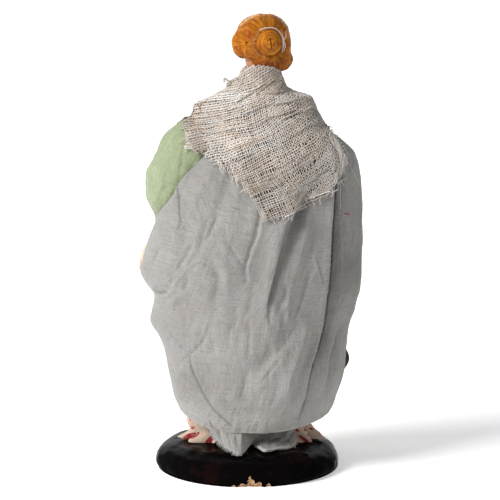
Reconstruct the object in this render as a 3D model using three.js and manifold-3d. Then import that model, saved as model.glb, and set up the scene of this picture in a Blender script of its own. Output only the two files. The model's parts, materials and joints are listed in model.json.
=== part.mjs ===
// A small dressed nativity figure of a standing woman, 150 mm tall, finished to be seen from behind too.
// Painted terracotta head, hands and base; a green dress with puffed sleeves, a printed cream skirt, a dark green apron,
// a grey linen mantle wrapped round the back and held by both hands, and a loose gauze shawl over the shoulders.
// Millimetres, +Z up. The woman faces -Y, so her back is at +Y and her left hand at +X.
// The origin is the middle of the base's underside.
import * as THREE from "three";
import { mergeVertices } from "three/addons/utils/BufferGeometryUtils.js";
import Module from "manifold-3d";

const wasm = await Module();
wasm.setup();
const RAD = Math.PI / 180;

// ---------------------------------------------------------------- driving dimensions, in mm
const BASE_R = 30.3; // widest radius of the round base, at a third of its height
const BASE_FOOT_R = 29.3; // radius of its flat underside
const BASE_H = 8.5; // height of the base's top
const CHIP = { x: -1.4, y: 29.6, w: 3.1, d: 1.5, h: 3.0 }; // the chip in the lower rim, behind the figure
const GAP = 0.35; // air between two pieces that touch
const CLOTH = 0.9; // thickness that stands for a layer of cloth

const WAIST_Z = 84;
const NECK_Z = 121; // top of the stuffed body, where the terracotta neck starts
const HEAD = { x: -4.7, y: -0.4, z: 140.2, turn: 12, roll: 8 }; // centre of the skull; turned and tilted, in degrees
const BUN_R = 4.3;

// Outline of the mantle from behind: [height, left edge, right edge].
const MANTLE_OUTLINE = [
  [12.6, 19.2, -19.4],
  [13.6, 20, -21.4],
  [16, 21.2, -25],
  [20, 22.8, -28.4],
  [24.3, 24.3, -30],
  [28.4, 25.3, -31.3],
  [32.5, 26.3, -32.2],
  [36.6, 27.2, -32.4],
  [40.6, 28.2, -32.5],
  [44.7, 30, -32.8],
  [48.7, 32.3, -33.7],
  [52.1, 31.9, -35.3],
  [55.5, 31.2, -36.1],
  [58.2, 31.3, -37],
  [60.9, 33.3, -37.3],
  [64.9, 35.5, -37.5],
  [70.2, 34.6, -37.5],
  [76, 32.9, -37.9],
  [82.2, 31.2, -37.8],
  [88, 31.4, -37.9],
  [94, 30.8, -37.5],
  [99.4, 28, -36.6],
  [104.7, 24, -34.5],
  [107.3, 20.5, -32],
  [110, 17, -28.8],
  [112.5, 14, -25],
  [115, 11, -18],
  [118, 6, -12.5],
];
// How far the mantle stands out behind and in front at each height.
const MANTLE_BACK = [
  [12.6, 15.8],
  [14, 17.3],
  [16, 18.6],
  [20, 20],
  [30, 22.2],
  [40, 23.4],
  [50, 23.6],
  [60, 22.8],
  [70, 21.3],
  [80, 19.3],
  [90, 17.3],
  [100, 15.3],
  [106, 13.6],
  [112, 10.8],
  [118, 7.6],
];
const MANTLE_FRONT = [
  [13.2, 15],
  [25, 17.5],
  [40, 19],
  [66, 20],
  [80, 19.5],
  [92, 16],
  [104, 12],
  [112, 9],
  [117.5, 7],
];
// Where the back stands out furthest, across, by height; and how flat its right side is (1 is round, 2 a straight slope).
const MANTLE_CREST = [
  [12, -2],
  [20, -7],
  [30, -11],
  [38, -11],
  [46, -8],
  [55, -6],
  [64, -6],
  [72, -7],
  [80, -9],
  [88, -11],
  [98, -8],
  [108, -4],
  [118, -3.2],
];
const MANTLE_SLOPE = [
  [12, 1],
  [20, 1.12],
  [32, 1.3],
  [48, 1.4],
  [90, 1.4],
  [102, 1.2],
  [112, 1],
  [118, 0.95],
];
// Height of the mantle's hem by angle, from her left round the back to her right.
const MANTLE_HEM = [
  [-34, 19],
  [0, 19],
  [15, 18.4],
  [35, 16.4],
  [52, 15.1],
  [75, 14.8],
  [95, 14.9],
  [112, 15.2],
  [125, 15.9],
  [145, 16.8],
  [165, 17.6],
  [185, 18.5],
  [206, 20],
];
// Folds of the mantle: [depth (+ ridge, - valley), half width, points along it as x, z seen from behind].
const FOLDS = [
  [-3.0, 2.9, [-18.2, 91], [-15.0, 81.9], [-11.8, 71.9], [-8.3, 61.8], [-7.4, 52]],
  [1.3, 2.6, [-13.4, 89.4], [-10.4, 80], [-7.8, 70.6], [-5.4, 61.8], [-5.4, 54]],
  [0.9, 2.4, [-20.8, 90], [-19.6, 78.6], [-17.0, 67.3], [-15.2, 60]],
  [1.2, 2.6, [-25.4, 96], [-24.6, 79.7], [-23.6, 63.1], [-21.8, 49.2], [-19.6, 40], [-16.6, 27]],
  [-1.5, 2.4, [-29.2, 96], [-28.6, 79.7], [-27.6, 63.1], [-25.6, 49.2], [-22.8, 38.5], [-19.4, 24.2]],
  [-1.2, 2.8, [3.8, 100], [8.0, 92], [11.2, 83], [14.6, 75.5]],
  [-1.8, 2.6, [32, 59.0], [26.5, 60.9], [21, 63.4], [15, 67]],
  [0.8, 2.2, [31, 55.6], [25, 57.4], [19, 61.2]],
  [-1.0, 2.6, [-14.1, 52.7], [-8.3, 43.1], [-1.3, 34.2]],
  [1.1, 2.6, [-18.6, 50], [-15.4, 38.6], [-12.4, 26]],
];

// ---------------------------------------------------------------- helpers

// A smooth value between the rows of a table; column c.
function along(table, x, c = 1) {
  const n = table.length;
  if (x <= table[0][0]) return table[0][c];
  if (x >= table[n - 1][0]) return table[n - 1][c];
  let i = 0;
  while (x > table[i + 1][0]) i++;
  const slope = (k) =>
    k <= 0 || k >= n - 1
      ? 0
      : (table[k + 1][c] - table[k - 1][c]) / (table[k + 1][0] - table[k - 1][0]);
  const h = table[i + 1][0] - table[i][0],
    t = (x - table[i][0]) / h,
    p = table[i][c],
    q = table[i + 1][c];
  const s = i === 0 ? (q - p) / h : slope(i),
    e = i === n - 2 ? (q - p) / h : slope(i + 1);
  return (
    (2 * t ** 3 - 3 * t * t + 1) * p +
    (t ** 3 - 2 * t * t + t) * h * s +
    (3 * t * t - 2 * t ** 3) * q +
    (t ** 3 - t * t) * h * e
  );
}
const lerp = (a, b, t) => a + (b - a) * t;
const clamp = (x, a = 0, b = 1) => Math.min(b, Math.max(a, x));
const smooth = (a, b, x) => {
  const t = clamp((x - a) / (b - a));
  return t * t * (3 - 2 * t);
};

function geometry(points, faces) {
  const g = new THREE.BufferGeometry();
  g.setAttribute("position", new THREE.Float32BufferAttribute(points.flatMap((p) => [p.x, p.y, p.z]), 3));
  g.setIndex(faces.flat());
  return g;
}

// A closed sheet between two grids of points, outer and inner, each grid[i][j].
function sheetSolid(outer, inner) {
  const nu = outer.length,
    nv = outer[0].length,
    pts = [...outer.flat(), ...inner.flat()],
    o = (i, j) => i * nv + j,
    n = (i, j) => nu * nv + i * nv + j,
    f = [];
  for (let i = 0; i < nu - 1; i++)
    for (let j = 0; j < nv - 1; j++) {
      f.push([o(i, j), o(i + 1, j), o(i + 1, j + 1)], [o(i, j), o(i + 1, j + 1), o(i, j + 1)]);
      f.push([n(i, j), n(i + 1, j + 1), n(i + 1, j)], [n(i, j), n(i, j + 1), n(i + 1, j + 1)]);
    }
  for (let i = 0; i < nu - 1; i++) {
    f.push([o(i, 0), n(i, 0), n(i + 1, 0)], [o(i, 0), n(i + 1, 0), o(i + 1, 0)]);
    const j = nv - 1;
    f.push([o(i, j), o(i + 1, j), n(i + 1, j)], [o(i, j), n(i + 1, j), n(i, j)]);
  }
  for (let j = 0; j < nv - 1; j++) {
    f.push([o(0, j), o(0, j + 1), n(0, j + 1)], [o(0, j), n(0, j + 1), n(0, j)]);
    const i = nu - 1;
    f.push([o(i, j), n(i, j), n(i, j + 1)], [o(i, j), n(i, j + 1), o(i, j + 1)]);
  }
  return geometry(pts, f);
}

// A closed body from rings of equal length, stacked, each ring anticlockwise seen from the far end.
function stackSolid(rings) {
  const n = rings[0].length,
    pts = rings.flat(),
    f = [],
    mid = (r) => r.reduce((a, p) => a.add(p), new THREE.Vector3()).multiplyScalar(1 / n);
  for (let k = 0; k < rings.length - 1; k++)
    for (let i = 0; i < n; i++) {
      const a = k * n + i,
        b = k * n + ((i + 1) % n);
      f.push([a, b, b + n], [a, b + n, a + n]);
    }
  const first = pts.length,
    last = first + 1,
    top = (rings.length - 1) * n;
  pts.push(mid(rings[0]), mid(rings[rings.length - 1]));
  for (let i = 0; i < n; i++) {
    f.push([first, (i + 1) % n, i]);
    f.push([last, top + i, top + ((i + 1) % n)]);
  }
  return geometry(pts, f);
}

// A round limb along a smooth line: stations are [x, y, z, radius, radius front to back (optional)].
function limbSolid(stations, around, steps) {
  const line = new THREE.CatmullRomCurve3(stations.map((s) => new THREE.Vector3(s[0], s[1], s[2])), false, "centripetal"),
    rings = [];
  const radii = stations.map((s, i) => [i, s[3], s[4] ?? s[3]]);
  for (let k = 0; k <= steps; k++) {
    const t = k / steps,
      at = line.getPoint(t),
      dir = line.getTangent(t),
      side = new THREE.Vector3(0, 1, 0).cross(dir).normalize(),
      fore = dir.clone().cross(side),
      ra = along(radii, t * (stations.length - 1), 1),
      rb = along(radii, t * (stations.length - 1), 2);
    const ring = [];
    for (let i = 0; i < around; i++) {
      const a = (2 * Math.PI * i) / around;
      ring.push(at.clone().addScaledVector(side, ra * Math.cos(a)).addScaledVector(fore, rb * Math.sin(a)));
    }
    rings.push(ring);
  }
  return stackSolid(rings);
}

function solid(g) {
  const bare = new THREE.BufferGeometry().setAttribute("position", g.getAttribute("position"));
  if (g.index) bare.setIndex(g.index);
  const m = mergeVertices(bare, 1e-4);
  return new wasm.Manifold(
    new wasm.Mesh({
      numProp: 3,
      vertProperties: new Float32Array(m.attributes.position.array),
      triVerts: new Uint32Array(m.index.array),
    }),
  );
}
function fromSolid(s) {
  const m = s.getMesh(),
    g = new THREE.BufferGeometry();
  g.setAttribute("position", new THREE.Float32BufferAttribute(Array.from(m.vertProperties), 3));
  g.setIndex(Array.from(m.triVerts));
  g.computeVertexNormals();
  return g;
}
const join = (...gs) => gs.map(solid).reduce((a, b) => a.add(b));

function ball(x, y, z, rx, ry, rz, wide = 16, high = 11) {
  const g = new THREE.SphereGeometry(1, wide, high);
  g.scale(rx, rz, ry); // its poles are along Y before it is stood up
  g.rotateX(Math.PI / 2);
  g.translate(x, y, z);
  return g;
}
function rod(x0, y0, z0, x1, y1, z1, r, cap = 3, sides = 8) {
  const a = new THREE.Vector3(x0, y0, z0),
    b = new THREE.Vector3(x1, y1, z1),
    g = new THREE.CapsuleGeometry(r, a.distanceTo(b), cap, sides);
  g.applyQuaternion(new THREE.Quaternion().setFromUnitVectors(new THREE.Vector3(0, 1, 0), b.clone().sub(a).normalize()));
  g.translate((x0 + x1) / 2, (y0 + y1) / 2, (z0 + z1) / 2);
  return g;
}

// The furthest that any of these bodies reaches from the axis (x0, y0) at height z in the direction phi.
function reachOf(bodies) {
  const tris = [];
  for (const g of bodies) {
    const p = g.getAttribute("position"),
      ix = g.index ? Array.from(g.index.array) : [...Array(p.count).keys()];
    for (let i = 0; i < ix.length; i += 3)
      tris.push([0, 1, 2].map((k) => new THREE.Vector3().fromBufferAttribute(p, ix[i + k])));
  }
  const boxes = tris.map((t) => [Math.min(t[0].z, t[1].z, t[2].z), Math.max(t[0].z, t[1].z, t[2].z)]);
  return (x0, y0, z, phi) => {
    const from = new THREE.Vector3(x0, y0, z),
      ray = new THREE.Ray(from, new THREE.Vector3(Math.cos(phi), Math.sin(phi), 0)),
      hit = new THREE.Vector3();
    let far = 0;
    tris.forEach((t, i) => {
      if (z < boxes[i][0] || z > boxes[i][1]) return;
      if (ray.intersectTriangle(t[0], t[1], t[2], false, hit)) far = Math.max(far, hit.distanceTo(from));
    });
    return far;
  };
}

// The same, for all directions within dd and all heights within dz.
function widest(reach, x0, y0, z, phi, dz, dd) {
  let far = 0;
  for (let a = -2; a <= 2; a++) for (let b = -2; b <= 2; b++) far = Math.max(far, reach(x0, y0, z + (a * dz) / 2, phi + (b * dd) / 2));
  return far;
}

// ---------------------------------------------------------------- base: a thick disc with a soft rim and a lumpy top
function baseGeometry() {
  const profile = [
    // share of the radius, height
    [BASE_FOOT_R - 0.3, 0],
    [BASE_FOOT_R + 0.8, 0.8],
    [BASE_R, 2.6],
    [BASE_R - 0.6, 4.4],
    [BASE_R - 1.7, 6.0],
    [BASE_R - 4.2, 7.6],
    [BASE_R - 8.0, 8.35],
    [15, 8.45],
    [7, BASE_H],
  ];
  const around = 40;
  const rings = profile.map(([r, z]) => {
    const ring = [];
    for (let i = 0; i < around; i++) {
      const a = (2 * Math.PI * i) / around,
        lump = z > 0.3 ? 0.22 * Math.sin(3 * a + 0.6) + 0.15 * Math.sin(5 * a + 2.1) : 0,
        s = r > 20 ? 1 : 0.3;
      ring.push(new THREE.Vector3((r + lump * s) * Math.cos(a), (r + lump * s) * Math.sin(a), z));
    }
    return ring;
  });
  const body = solid(stackSolid(rings));
  const chip = ball(CHIP.x, CHIP.y, 0.2, CHIP.w, CHIP.d, CHIP.h, 9, 7);
  const nick = ball(CHIP.x - 5.6, CHIP.y + 0.1, 0.1, 1.3, 1.0, 1.1, 7, 5);
  return fromSolid(body.subtract(solid(chip)).subtract(solid(nick)));
}

// ---------------------------------------------------------------- stuffed body: skirt and dress
// [height, middle x, half width, reach behind, reach in front]
const SKIRT = [
  [9.0, -2.0, 22.0, 9.5, 17.5],
  [11.5, -1.6, 19.6, 9.4, 16.6],
  [15, 0.0, 19.2, 10, 16],
  [24, -1.5, 20, 12.5, 16.5],
  [40, -2, 22.5, 14.5, 16.5],
  [58, -2, 21, 14.5, 15],
  [74, -2, 16, 12, 12],
  [WAIST_Z, -2, 12.4, 9.2, 9.4],
];
const TORSO = [
  [WAIST_Z + GAP, -2, 12.6, 9.2, 9.4],
  [92, -1.4, 13.4, 9.4, 10],
  [100, -1.2, 15.4, 9.6, 11.8],
  [107, -2.0, 16.0, 9.2, 11],
  [112.5, -3, 14.6, 8.2, 8.6],
  [116.5, -3.8, 11, 6.8, 7],
  [119.4, -4.4, 7.4, 5.8, 5.9],
  [NECK_Z, -4.6, 6.0, 5.2, 5.2],
];
function bodyRing(row, around, wave = 0, count = 9, phase = 0) {
  const ring = [];
  for (let i = 0; i < around; i++) {
    const a = (2 * Math.PI * i) / around,
      c = Math.cos(a),
      s = Math.sin(a),
      k = 1 + (wave * Math.sin(count * a + phase)) / row[2];
    ring.push(new THREE.Vector3(row[1] + row[2] * k * c, (s > 0 ? row[3] : row[4]) * k * s, row[0]));
  }
  return ring;
}
function skirtGeometry() {
  const rings = [9.0, 11.5, 16, 26, 40, 56, 72, WAIST_Z].map((z) => {
    const row = [z, along(SKIRT, z, 1), along(SKIRT, z, 2), along(SKIRT, z, 3), along(SKIRT, z, 4)];
    return bodyRing(row, 40, 1.5 * (1 - smooth(9, 80, z)), 9, 0.5);
  });
  return stackSolid(rings);
}
// Sleeve and arm stations: [x, y, z, radius across, radius front to back]
const LEFT_ARM = [
  [8.5, 0.2, 110.8, 5.2, 6.4],
  [15.4, 0.4, 107, 10.4, 9.4],
  [19.4, 0.6, 99.6, 12, 10.2],
  [22.4, -0.4, 91.4, 11.7, 9.6],
  [24.4, -2.8, 82.4, 6.8, 6.6],
  [27.6, -6, 75.6, 4.2, 4.2],
  [31, -8.2, 71, 3.1, 3.1],
];
const RIGHT_ARM = [
  [-13.5, 0.2, 108.4, 5, 6],
  [-20.6, 0.4, 104.6, 6.2, 7],
  [-25.8, 0.6, 97.4, 6.4, 7.2],
  [-28, -0.8, 89.5, 6.2, 7],
  [-28.2, -4.6, 80.6, 4.8, 5.4],
  [-26.8, -11, 74.6, 4, 4.2],
  [-24.4, -16.2, 71.4, 3.3, 3.4],
];
function dressGeometry() {
  const rings = [];
  for (const z of [WAIST_Z + GAP, 90, 96, 102, 108, 112.5, 116.5, 119.2, NECK_Z])
    rings.push(bodyRing([z, 1, 2, 3, 4].map((_, c) => (c ? along(TORSO, z, c) : z)), 24));
  return fromSolid(join(stackSolid(rings), limbSolid(LEFT_ARM, 13, 13), limbSolid(RIGHT_ARM, 12, 12)));
}

// ---------------------------------------------------------------- hands: a palm, four fingers and a thumb
// at = wrist, out = towards the fingertips, palm = the side that the palm faces, side = +1 for the thumb on out x palm
function handGeometry(at, out, palm, side) {
  const o = out.clone().normalize(),
    p = palm.clone().addScaledVector(o, -palm.dot(o)).normalize(),
    w = o.clone().cross(p).multiplyScalar(side),
    at3 = (a, b, c) => at.clone().addScaledVector(o, a).addScaledVector(w, b).addScaledVector(p, c),
    r = (a, b, rad) => rod(a.x, a.y, a.z, b.x, b.y, b.z, rad, 1, 6);
  let s = solid(r(at3(0, 0, 0), at3(2.4, 0, 0), 1.5));
  s = s.add(solid(r(at3(2.4, 0.85, 0), at3(4.2, 0.9, 0.1), 1.1)));
  s = s.add(solid(r(at3(2.4, -0.85, 0), at3(4.2, -0.9, 0.1), 1.1)));
  for (let k = 0; k < 4; k++) {
    const b = 1.4 - 0.93 * k,
      long = [2.8, 3.3, 3.0, 2.3][k];
    s = s.add(solid(r(at3(4.2, b, 0.1), at3(4.2 + long, b * 1.1, 1.5), 0.55)));
  }
  s = s.add(solid(r(at3(1.8, 1.2, 0.3), at3(4.4, 2.5, 1.8), 0.6)));
  return fromSolid(s);
}
const LEFT_HAND = {
  at: new THREE.Vector3(33.6, -8.9, 70.6),
  out: new THREE.Vector3(0.35, -0.28, -0.89),
  palm: new THREE.Vector3(-0.9, 0.3, -0.2),
};
const RIGHT_HAND = {
  at: new THREE.Vector3(-23.5, -18.0, 70.5),
  out: new THREE.Vector3(0.5, -0.75, -0.28),
  palm: new THREE.Vector3(-0.45, -0.1, -0.9),
};

// ---------------------------------------------------------------- head, neck and hair in one piece
function headGeometry() {
  const parts = [
    ball(0, -0.8, 0.8, 6.9, 7.8, 8.3, 12, 9), // skull
    ball(0, -3.4, -4.0, 5.2, 5.0, 5.8, 10, 7), // jaw
    ball(0, -8.3, -2.3, 0.95, 1.2, 1.7, 6, 4), // nose
    ball(0, -7.1, -7.6, 2.0, 1.6, 1.5, 6, 4), // chin
    ball(-0.1, 1.0, 2.6, 8.5, 8.1, 7.1, 14, 9), // hair over the crown
    ball(6.5, 0.9, 0.4, 3.8, 5.0, 5.0, 10, 7), // roll of hair over the left ear
    ball(-6.5, 1.0, -0.2, 2.6, 5.4, 7.2, 9, 6), // and the right one, which hangs lower
    ball(-5.8, 2.6, -6.4, 3.0, 3.1, 2.5, 8, 5), // its curl
    ball(-1.0, 4.5, -4.8, 6.4, 3.4, 3.8, 10, 6), // hair gathered at the nape
    ball(-0.5, 8.5, 0.6, BUN_R, 3.2, BUN_R, 12, 7), // bun
  ];
  const head = parts.map(solid).reduce((a, b) => a.add(b));
  const g = fromSolid(head);
  g.rotateY(HEAD.roll * RAD);
  g.rotateZ(HEAD.turn * RAD);
  g.translate(HEAD.x, HEAD.y, HEAD.z);
  const neck = new THREE.LatheGeometry(
    [
      [0, NECK_Z + GAP],
      [5.4, NECK_Z + GAP],
      [4.7, NECK_Z + 3],
      [4.4, 129],
      [4.5, 136],
      [0, 137],
    ].map(([r, z]) => new THREE.Vector2(r, z)),
    14,
  );
  neck.rotateX(Math.PI / 2);
  neck.translate(-4.6, -0.6, 0);
  return fromSolid(solid(g).add(solid(neck)));
}

// ---------------------------------------------------------------- mantle
// How far the folds push the cloth out at a point seen from behind.
function relief(x, z) {
  let sum = 0;
  for (const [deep, wide, ...pts] of FOLDS) {
    let best = 1e9,
      at = 0;
    for (let i = 0; i < pts.length - 1; i++) {
      const [ax, az] = pts[i],
        [bx, bz] = pts[i + 1],
        len = (bx - ax) ** 2 + (bz - az) ** 2,
        t = clamp(((x - ax) * (bx - ax) + (z - az) * (bz - az)) / len),
        d = Math.hypot(x - ax - t * (bx - ax), z - az - t * (bz - az));
      if (d < best) {
        best = d;
        at = (i + t) / (pts.length - 1);
      }
    }
    const fade = smooth(1.02, 0.6, at) * 0.75 + 0.25;
    sum += deep * fade * Math.exp(-((best / wide) ** 2));
  }
  return sum;
}
// A point of the mantle's section at height z; phi 0 is her left, 90 her back, 180 her right, in degrees.
function mantleAt(phi, z, inset = 0) {
  const l = along(MANTLE_OUTLINE, z, 1),
    r = along(MANTLE_OUTLINE, z, 2),
    c = Math.cos(phi * RAD),
    s = Math.sin(phi * RAD),
    middle = (l + r) / 2,
    crest = s > 0 ? lerp(middle, along(MANTLE_CREST, z), smooth(0, 0.5, s)) : middle,
    e = c < 0 && s > 0 ? lerp(0.94, along(MANTLE_SLOPE, z), smooth(0, 0.35, s)) : 0.94,
    cx = Math.sign(c) * Math.abs(c) ** e,
    sy = Math.sign(s) * Math.abs(s) ** e,
    a = c > 0 ? l - crest : crest - r,
    b = s > 0 ? along(MANTLE_BACK, z) : along(MANTLE_FRONT, z);
  const x = crest + a * cx,
    back = smooth(0.1, 0.5, s),
    push = back * relief(x, z) - inset,
    n = new THREE.Vector2(cx / a, sy / b).normalize();
  return new THREE.Vector3(x + n.x * push, b * sy + n.y * push, z);
}
// Where the mantle starts and ends round the body, and at the top.
const MANTLE_LEFT = [
  [13.2, -30],
  [40, -34],
  [56, -24],
  [66, -4],
  [76, 4],
  [83, 14],
]; // phi of its left front edge by height
const MANTLE_RIGHT = [
  [13.2, 204],
  [30, 206],
  [45, 213],
  [58, 225],
  [68, 230],
  [80, 227],
  [96, 220],
  [108, 208],
  [117, 196],
];
// Height of the upper edge by phi: it climbs from the left elbow to the nape.
const MANTLE_TOP = [
  [5, 81],
  [10, 82.2],
  [15, 83.9],
  [24, 87],
  [32, 90.1],
  [37, 93.2],
  [40.5, 96.2],
  [45, 100.2],
  [51, 104.6],
  [60, 109.6],
  [72, 113.4],
  [86, 116.4],
  [112, 117.6],
  [196, 117.2],
  [204, 112],
];
function mantleGeometry(inner) {
  const reach = reachOf(inner),
    nu = 36,
    rows = 17,
    outer = [],
    inside = [];
  for (let i = 0; i <= nu; i++) {
    const u = i / nu,
      o = [],
      n = [];
    for (let j = 0; j <= rows; j++) {
      const v = j / rows;
      // the column's own angle drifts with height, so that both front edges follow their lines
      let z = 60,
        phi = 0;
      for (let k = 0; k < 14; k++) {
        phi = lerp(along(MANTLE_LEFT, z), along(MANTLE_RIGHT, z), u);
        const want = lerp(along(MANTLE_HEM, phi), along(MANTLE_TOP, phi), v);
        z = lerp(z, want, 0.6);
      }
      const c = new THREE.Vector2((along(MANTLE_OUTLINE, z, 1) + along(MANTLE_OUTLINE, z, 2)) / 2, 0);
      let p = mantleAt(phi, z);
      const dir = Math.atan2(p.y - c.y, p.x - c.x),
        far = Math.hypot(p.x - c.x, p.y - c.y),
        body = widest(reach, c.x, c.y, z, dir, 3.0, 0.065);
      const out = Math.max(far, body + GAP + 0.4 + CLOTH);
      const at = (r) => new THREE.Vector3(c.x + r * Math.cos(dir), c.y + r * Math.sin(dir), z);
      o.push(at(out));
      n.push(at(out - CLOTH));
    }
    outer.push(o);
    inside.push(n);
  }
  return solid(sheetSolid(outer, inside));
}
// The cloth's corner and its folded edge, which hang below the mantle's hem and lie on the base behind.
// [share across, x, y] of the lower edge
const TRAIN = [
  [0, 12.4, 14.6],
  [0.14, 8.4, 18.6],
  [0.22, 5.4, 21.2],
  [0.3, 2.7, 22.9],
  [0.4, -0.2, 18.4],
  [0.48, -2.2, 15.4],
  [0.56, -4.6, 18],
  [0.62, -6, 19.6],
  [0.8, -10.6, 17],
  [1, -15.2, 13.4],
];
function trainGeometry() {
  const outer = [],
    inner = [],
    nu = 16;
  for (let i = 0; i <= nu; i++) {
    const u = i / nu,
      x1 = along(TRAIN, u, 1),
      y1 = along(TRAIN, u, 2),
      top = mantleAt(lerp(62, 128, u), 17.0, CLOTH * 0.5),
      o = [],
      n = [];
    for (let j = 0; j <= 4; j++) {
      const v = j / 4,
        x = lerp(top.x, x1, v),
        y = lerp(top.y, y1, v ** 1.6),
        z = lerp(top.z, 9.15, 1 - (1 - v) ** 1.5);
      const slope = new THREE.Vector3(0, 0.75, 0.66);
      n.push(new THREE.Vector3(x, y, z));
      o.push(new THREE.Vector3(x, y, z).addScaledVector(slope, 0.75));
    }
    outer.push(o.reverse());
    inner.push(n.reverse());
  }
  return solid(sheetSolid(outer, inner));
}

// ---------------------------------------------------------------- shawl
// Least reach of the shawl, seen from behind: [height, left, right]
const SHAWL_OUTLINE = [
  [82, 3, -13],
  [96, 14, -30.2],
  [104, 17, -31],
  [108, 18.6, -29.4],
  [110, 19.4, -28.4],
  [112.5, 20, -26.4],
  [115.2, 19.4, -24.4],
  [117.8, 18.2, -22.9],
  [119.6, 17.8, -22],
  [120.8, 17, -21.4],
  [122.2, 13, -20.9],
  [123.2, 11.4, -20],
  [124.2, 9.8, -15.6],
  [125.4, 7.4, -13.3],
  [127, 6.6, -11.9],
  [128.2, 5.4, -11.4],
  [129.4, 3, -11],
  [131, 1.6, -10.5],
  [132.4, 1.2, -10.1],
  [134.2, 0.4, -9.4],
];
const SHAWL_BACK = [
  [82, 19.8],
  [90, 18.9],
  [96, 17.6],
  [104, 15.6],
  [112, 13],
  [118, 11.2],
  [122, 10.4],
  [125, 9.6],
  [128, 8.8],
  [131, 7.8],
  [134.2, 6.4],
];
// Lower edge by phi: front left, left shoulder, point at the back, right shoulder, front right.
const SHAWL_LOW = [
  [-104, 98],
  [-84, 99],
  [-62, 103],
  [-45, 108],
  [-30, 112.5],
  [-15, 114.8],
  [0, 115.2],
  [9, 113.6],
  [15, 111.4],
  [24, 108],
  [31, 106.2],
  [37, 105.2],
  [53, 102.4],
  [66, 99.3],
  [79, 95.6],
  [84, 93.6],
  [91, 91],
  [97, 87.6],
  [103.5, 85.2],
  [110, 85.8],
  [122, 86.3],
  [133, 87],
  [143, 89.6],
  [149, 92.2],
  [158, 93.4],
  [163, 95.4],
  [168, 98.6],
  [174, 102.4],
  [182, 106],
  [194, 108],
  [215, 106],
  [240, 101],
  [268, 98],
];
function shawlGeometry(inner) {
  const reach = reachOf(inner),
    nu = 44,
    rows = 7,
    outer = [],
    inside = [];
  const topZ = 131.2;
  for (let i = 0; i <= nu; i++) {
    const phi = lerp(-104, 268, i / nu),
      lap = 1.5 * smooth(-20, -90, phi), // the left front lies over the right one

      low = along(SHAWL_LOW, phi),
      o = [],
      n = [];
    for (let j = 0; j <= rows; j++) {
      const v = j / rows,
        z = lerp(low, topZ - 5.0 * smooth(0.2, -1, Math.sin(phi * RAD)), v),
        l = along(SHAWL_OUTLINE, z, 1),
        r = along(SHAWL_OUTLINE, z, 2),
        mid = lerp(-4.2, -2.2, smooth(128, 112, z)),
        c = Math.cos(phi * RAD),
        s = Math.sin(phi * RAD),
        a = c > 0 ? l - mid : mid - r,
        b = s > 0 ? along(SHAWL_BACK, z) : along(SHAWL_BACK, z) * 0.86;
      const px = a * c,
        py = b * s,
        dir = Math.atan2(py, px);
      const body = widest(reach, mid, 0, z, dir, lerp(2.2, 0.5, v ** 3), 0.07);
      const out = Math.max(Math.hypot(px, py), body + GAP + 0.2 + CLOTH) + lap;
      const at = (q) => new THREE.Vector3(mid + q * Math.cos(dir), q * Math.sin(dir), z);
      o.push(at(out));
      n.push(at(out - CLOTH));
    }
    outer.push(o);
    inside.push(n);
  }
  return sheetSolid(outer, inside);
}

// ---------------------------------------------------------------- apron
// [height, left edge x, right edge x]
const APRON = [
  [22.5, 15.5, -27.5],
  [27, 16.5, -30.0],
  [32.4, 17, -33.5],
  [36.5, 17, -31.0],
  [43, 16.5, -24.0],
  [52, 15, -19.5],
  [62, 13, -16.0],
  [74, 10, -12.5],
  [82.5, 8, -10.0],
];
function apronGeometry() {
  const outer = [],
    inner = [],
    nu = 12;
  for (let i = 0; i <= nu; i++) {
    const u = i / nu,
      o = [],
      n = [];
    for (let j = 0; j <= 7; j++) {
      const z = lerp(22.5, 82.5, j / 7),
        x = lerp(along(APRON, z, 1), along(APRON, z, 2), u),
        deep = along(SKIRT, z, 4) + 2.1 + 0.5 * Math.sin(9 * u + 0.05 * z) * (1 - j / 7),
        y = -deep * Math.sqrt(1 - ((x + 2) / 41) ** 2);
      n.push(new THREE.Vector3(x, y + 0.7, z));
      o.push(new THREE.Vector3(x, y, z));
    }
    outer.push(o);
    inner.push(n);
  }
  return sheetSolid(inner, outer);
}

// ---------------------------------------------------------------- the figure
const terracottaSkin = new THREE.MeshStandardMaterial({ color: 0xd9966c, roughness: 0.55, metalness: 0 });
const hair = new THREE.MeshStandardMaterial({ color: 0xb5651d, roughness: 0.45, metalness: 0 });
const black = new THREE.MeshStandardMaterial({ color: 0x0b0a0b, roughness: 0.22, metalness: 0 });
const grey = new THREE.MeshStandardMaterial({ color: 0xa8a49f, roughness: 0.95, metalness: 0 });
const gauze = new THREE.MeshStandardMaterial({ color: 0xcabfb0, roughness: 0.95, metalness: 0 });
const green = new THREE.MeshStandardMaterial({ color: 0xafc48f, roughness: 0.9, metalness: 0 });
const cream = new THREE.MeshStandardMaterial({ color: 0xd9bfa2, roughness: 0.9, metalness: 0 });
const olive = new THREE.MeshStandardMaterial({ color: 0x39431f, roughness: 0.9, metalness: 0 });

const figure = new THREE.Group();
function add(name, g, material) {
  g.computeVertexNormals();
  const mesh = new THREE.Mesh(g, material);
  mesh.name = name;
  figure.add(mesh);
  return g;
}
add("base", baseGeometry(), black);
const skirt = add("skirt", skirtGeometry(), cream);
const dress = add("dress", dressGeometry(), green);
add("left_hand", handGeometry(LEFT_HAND.at, LEFT_HAND.out, LEFT_HAND.palm, 1), terracottaSkin);
add("right_hand", handGeometry(RIGHT_HAND.at, RIGHT_HAND.out, RIGHT_HAND.palm, -1), terracottaSkin);
const head = add("head", headGeometry(), hair);
const mantleSolid = mantleGeometry([skirt, dress]).add(trainGeometry());
const mantle = add("mantle", fromSolid(mantleSolid), grey);
add("shawl", shawlGeometry([mantle, dress, head]), gauze);
add("apron", apronGeometry(), olive);

export default figure;
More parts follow.
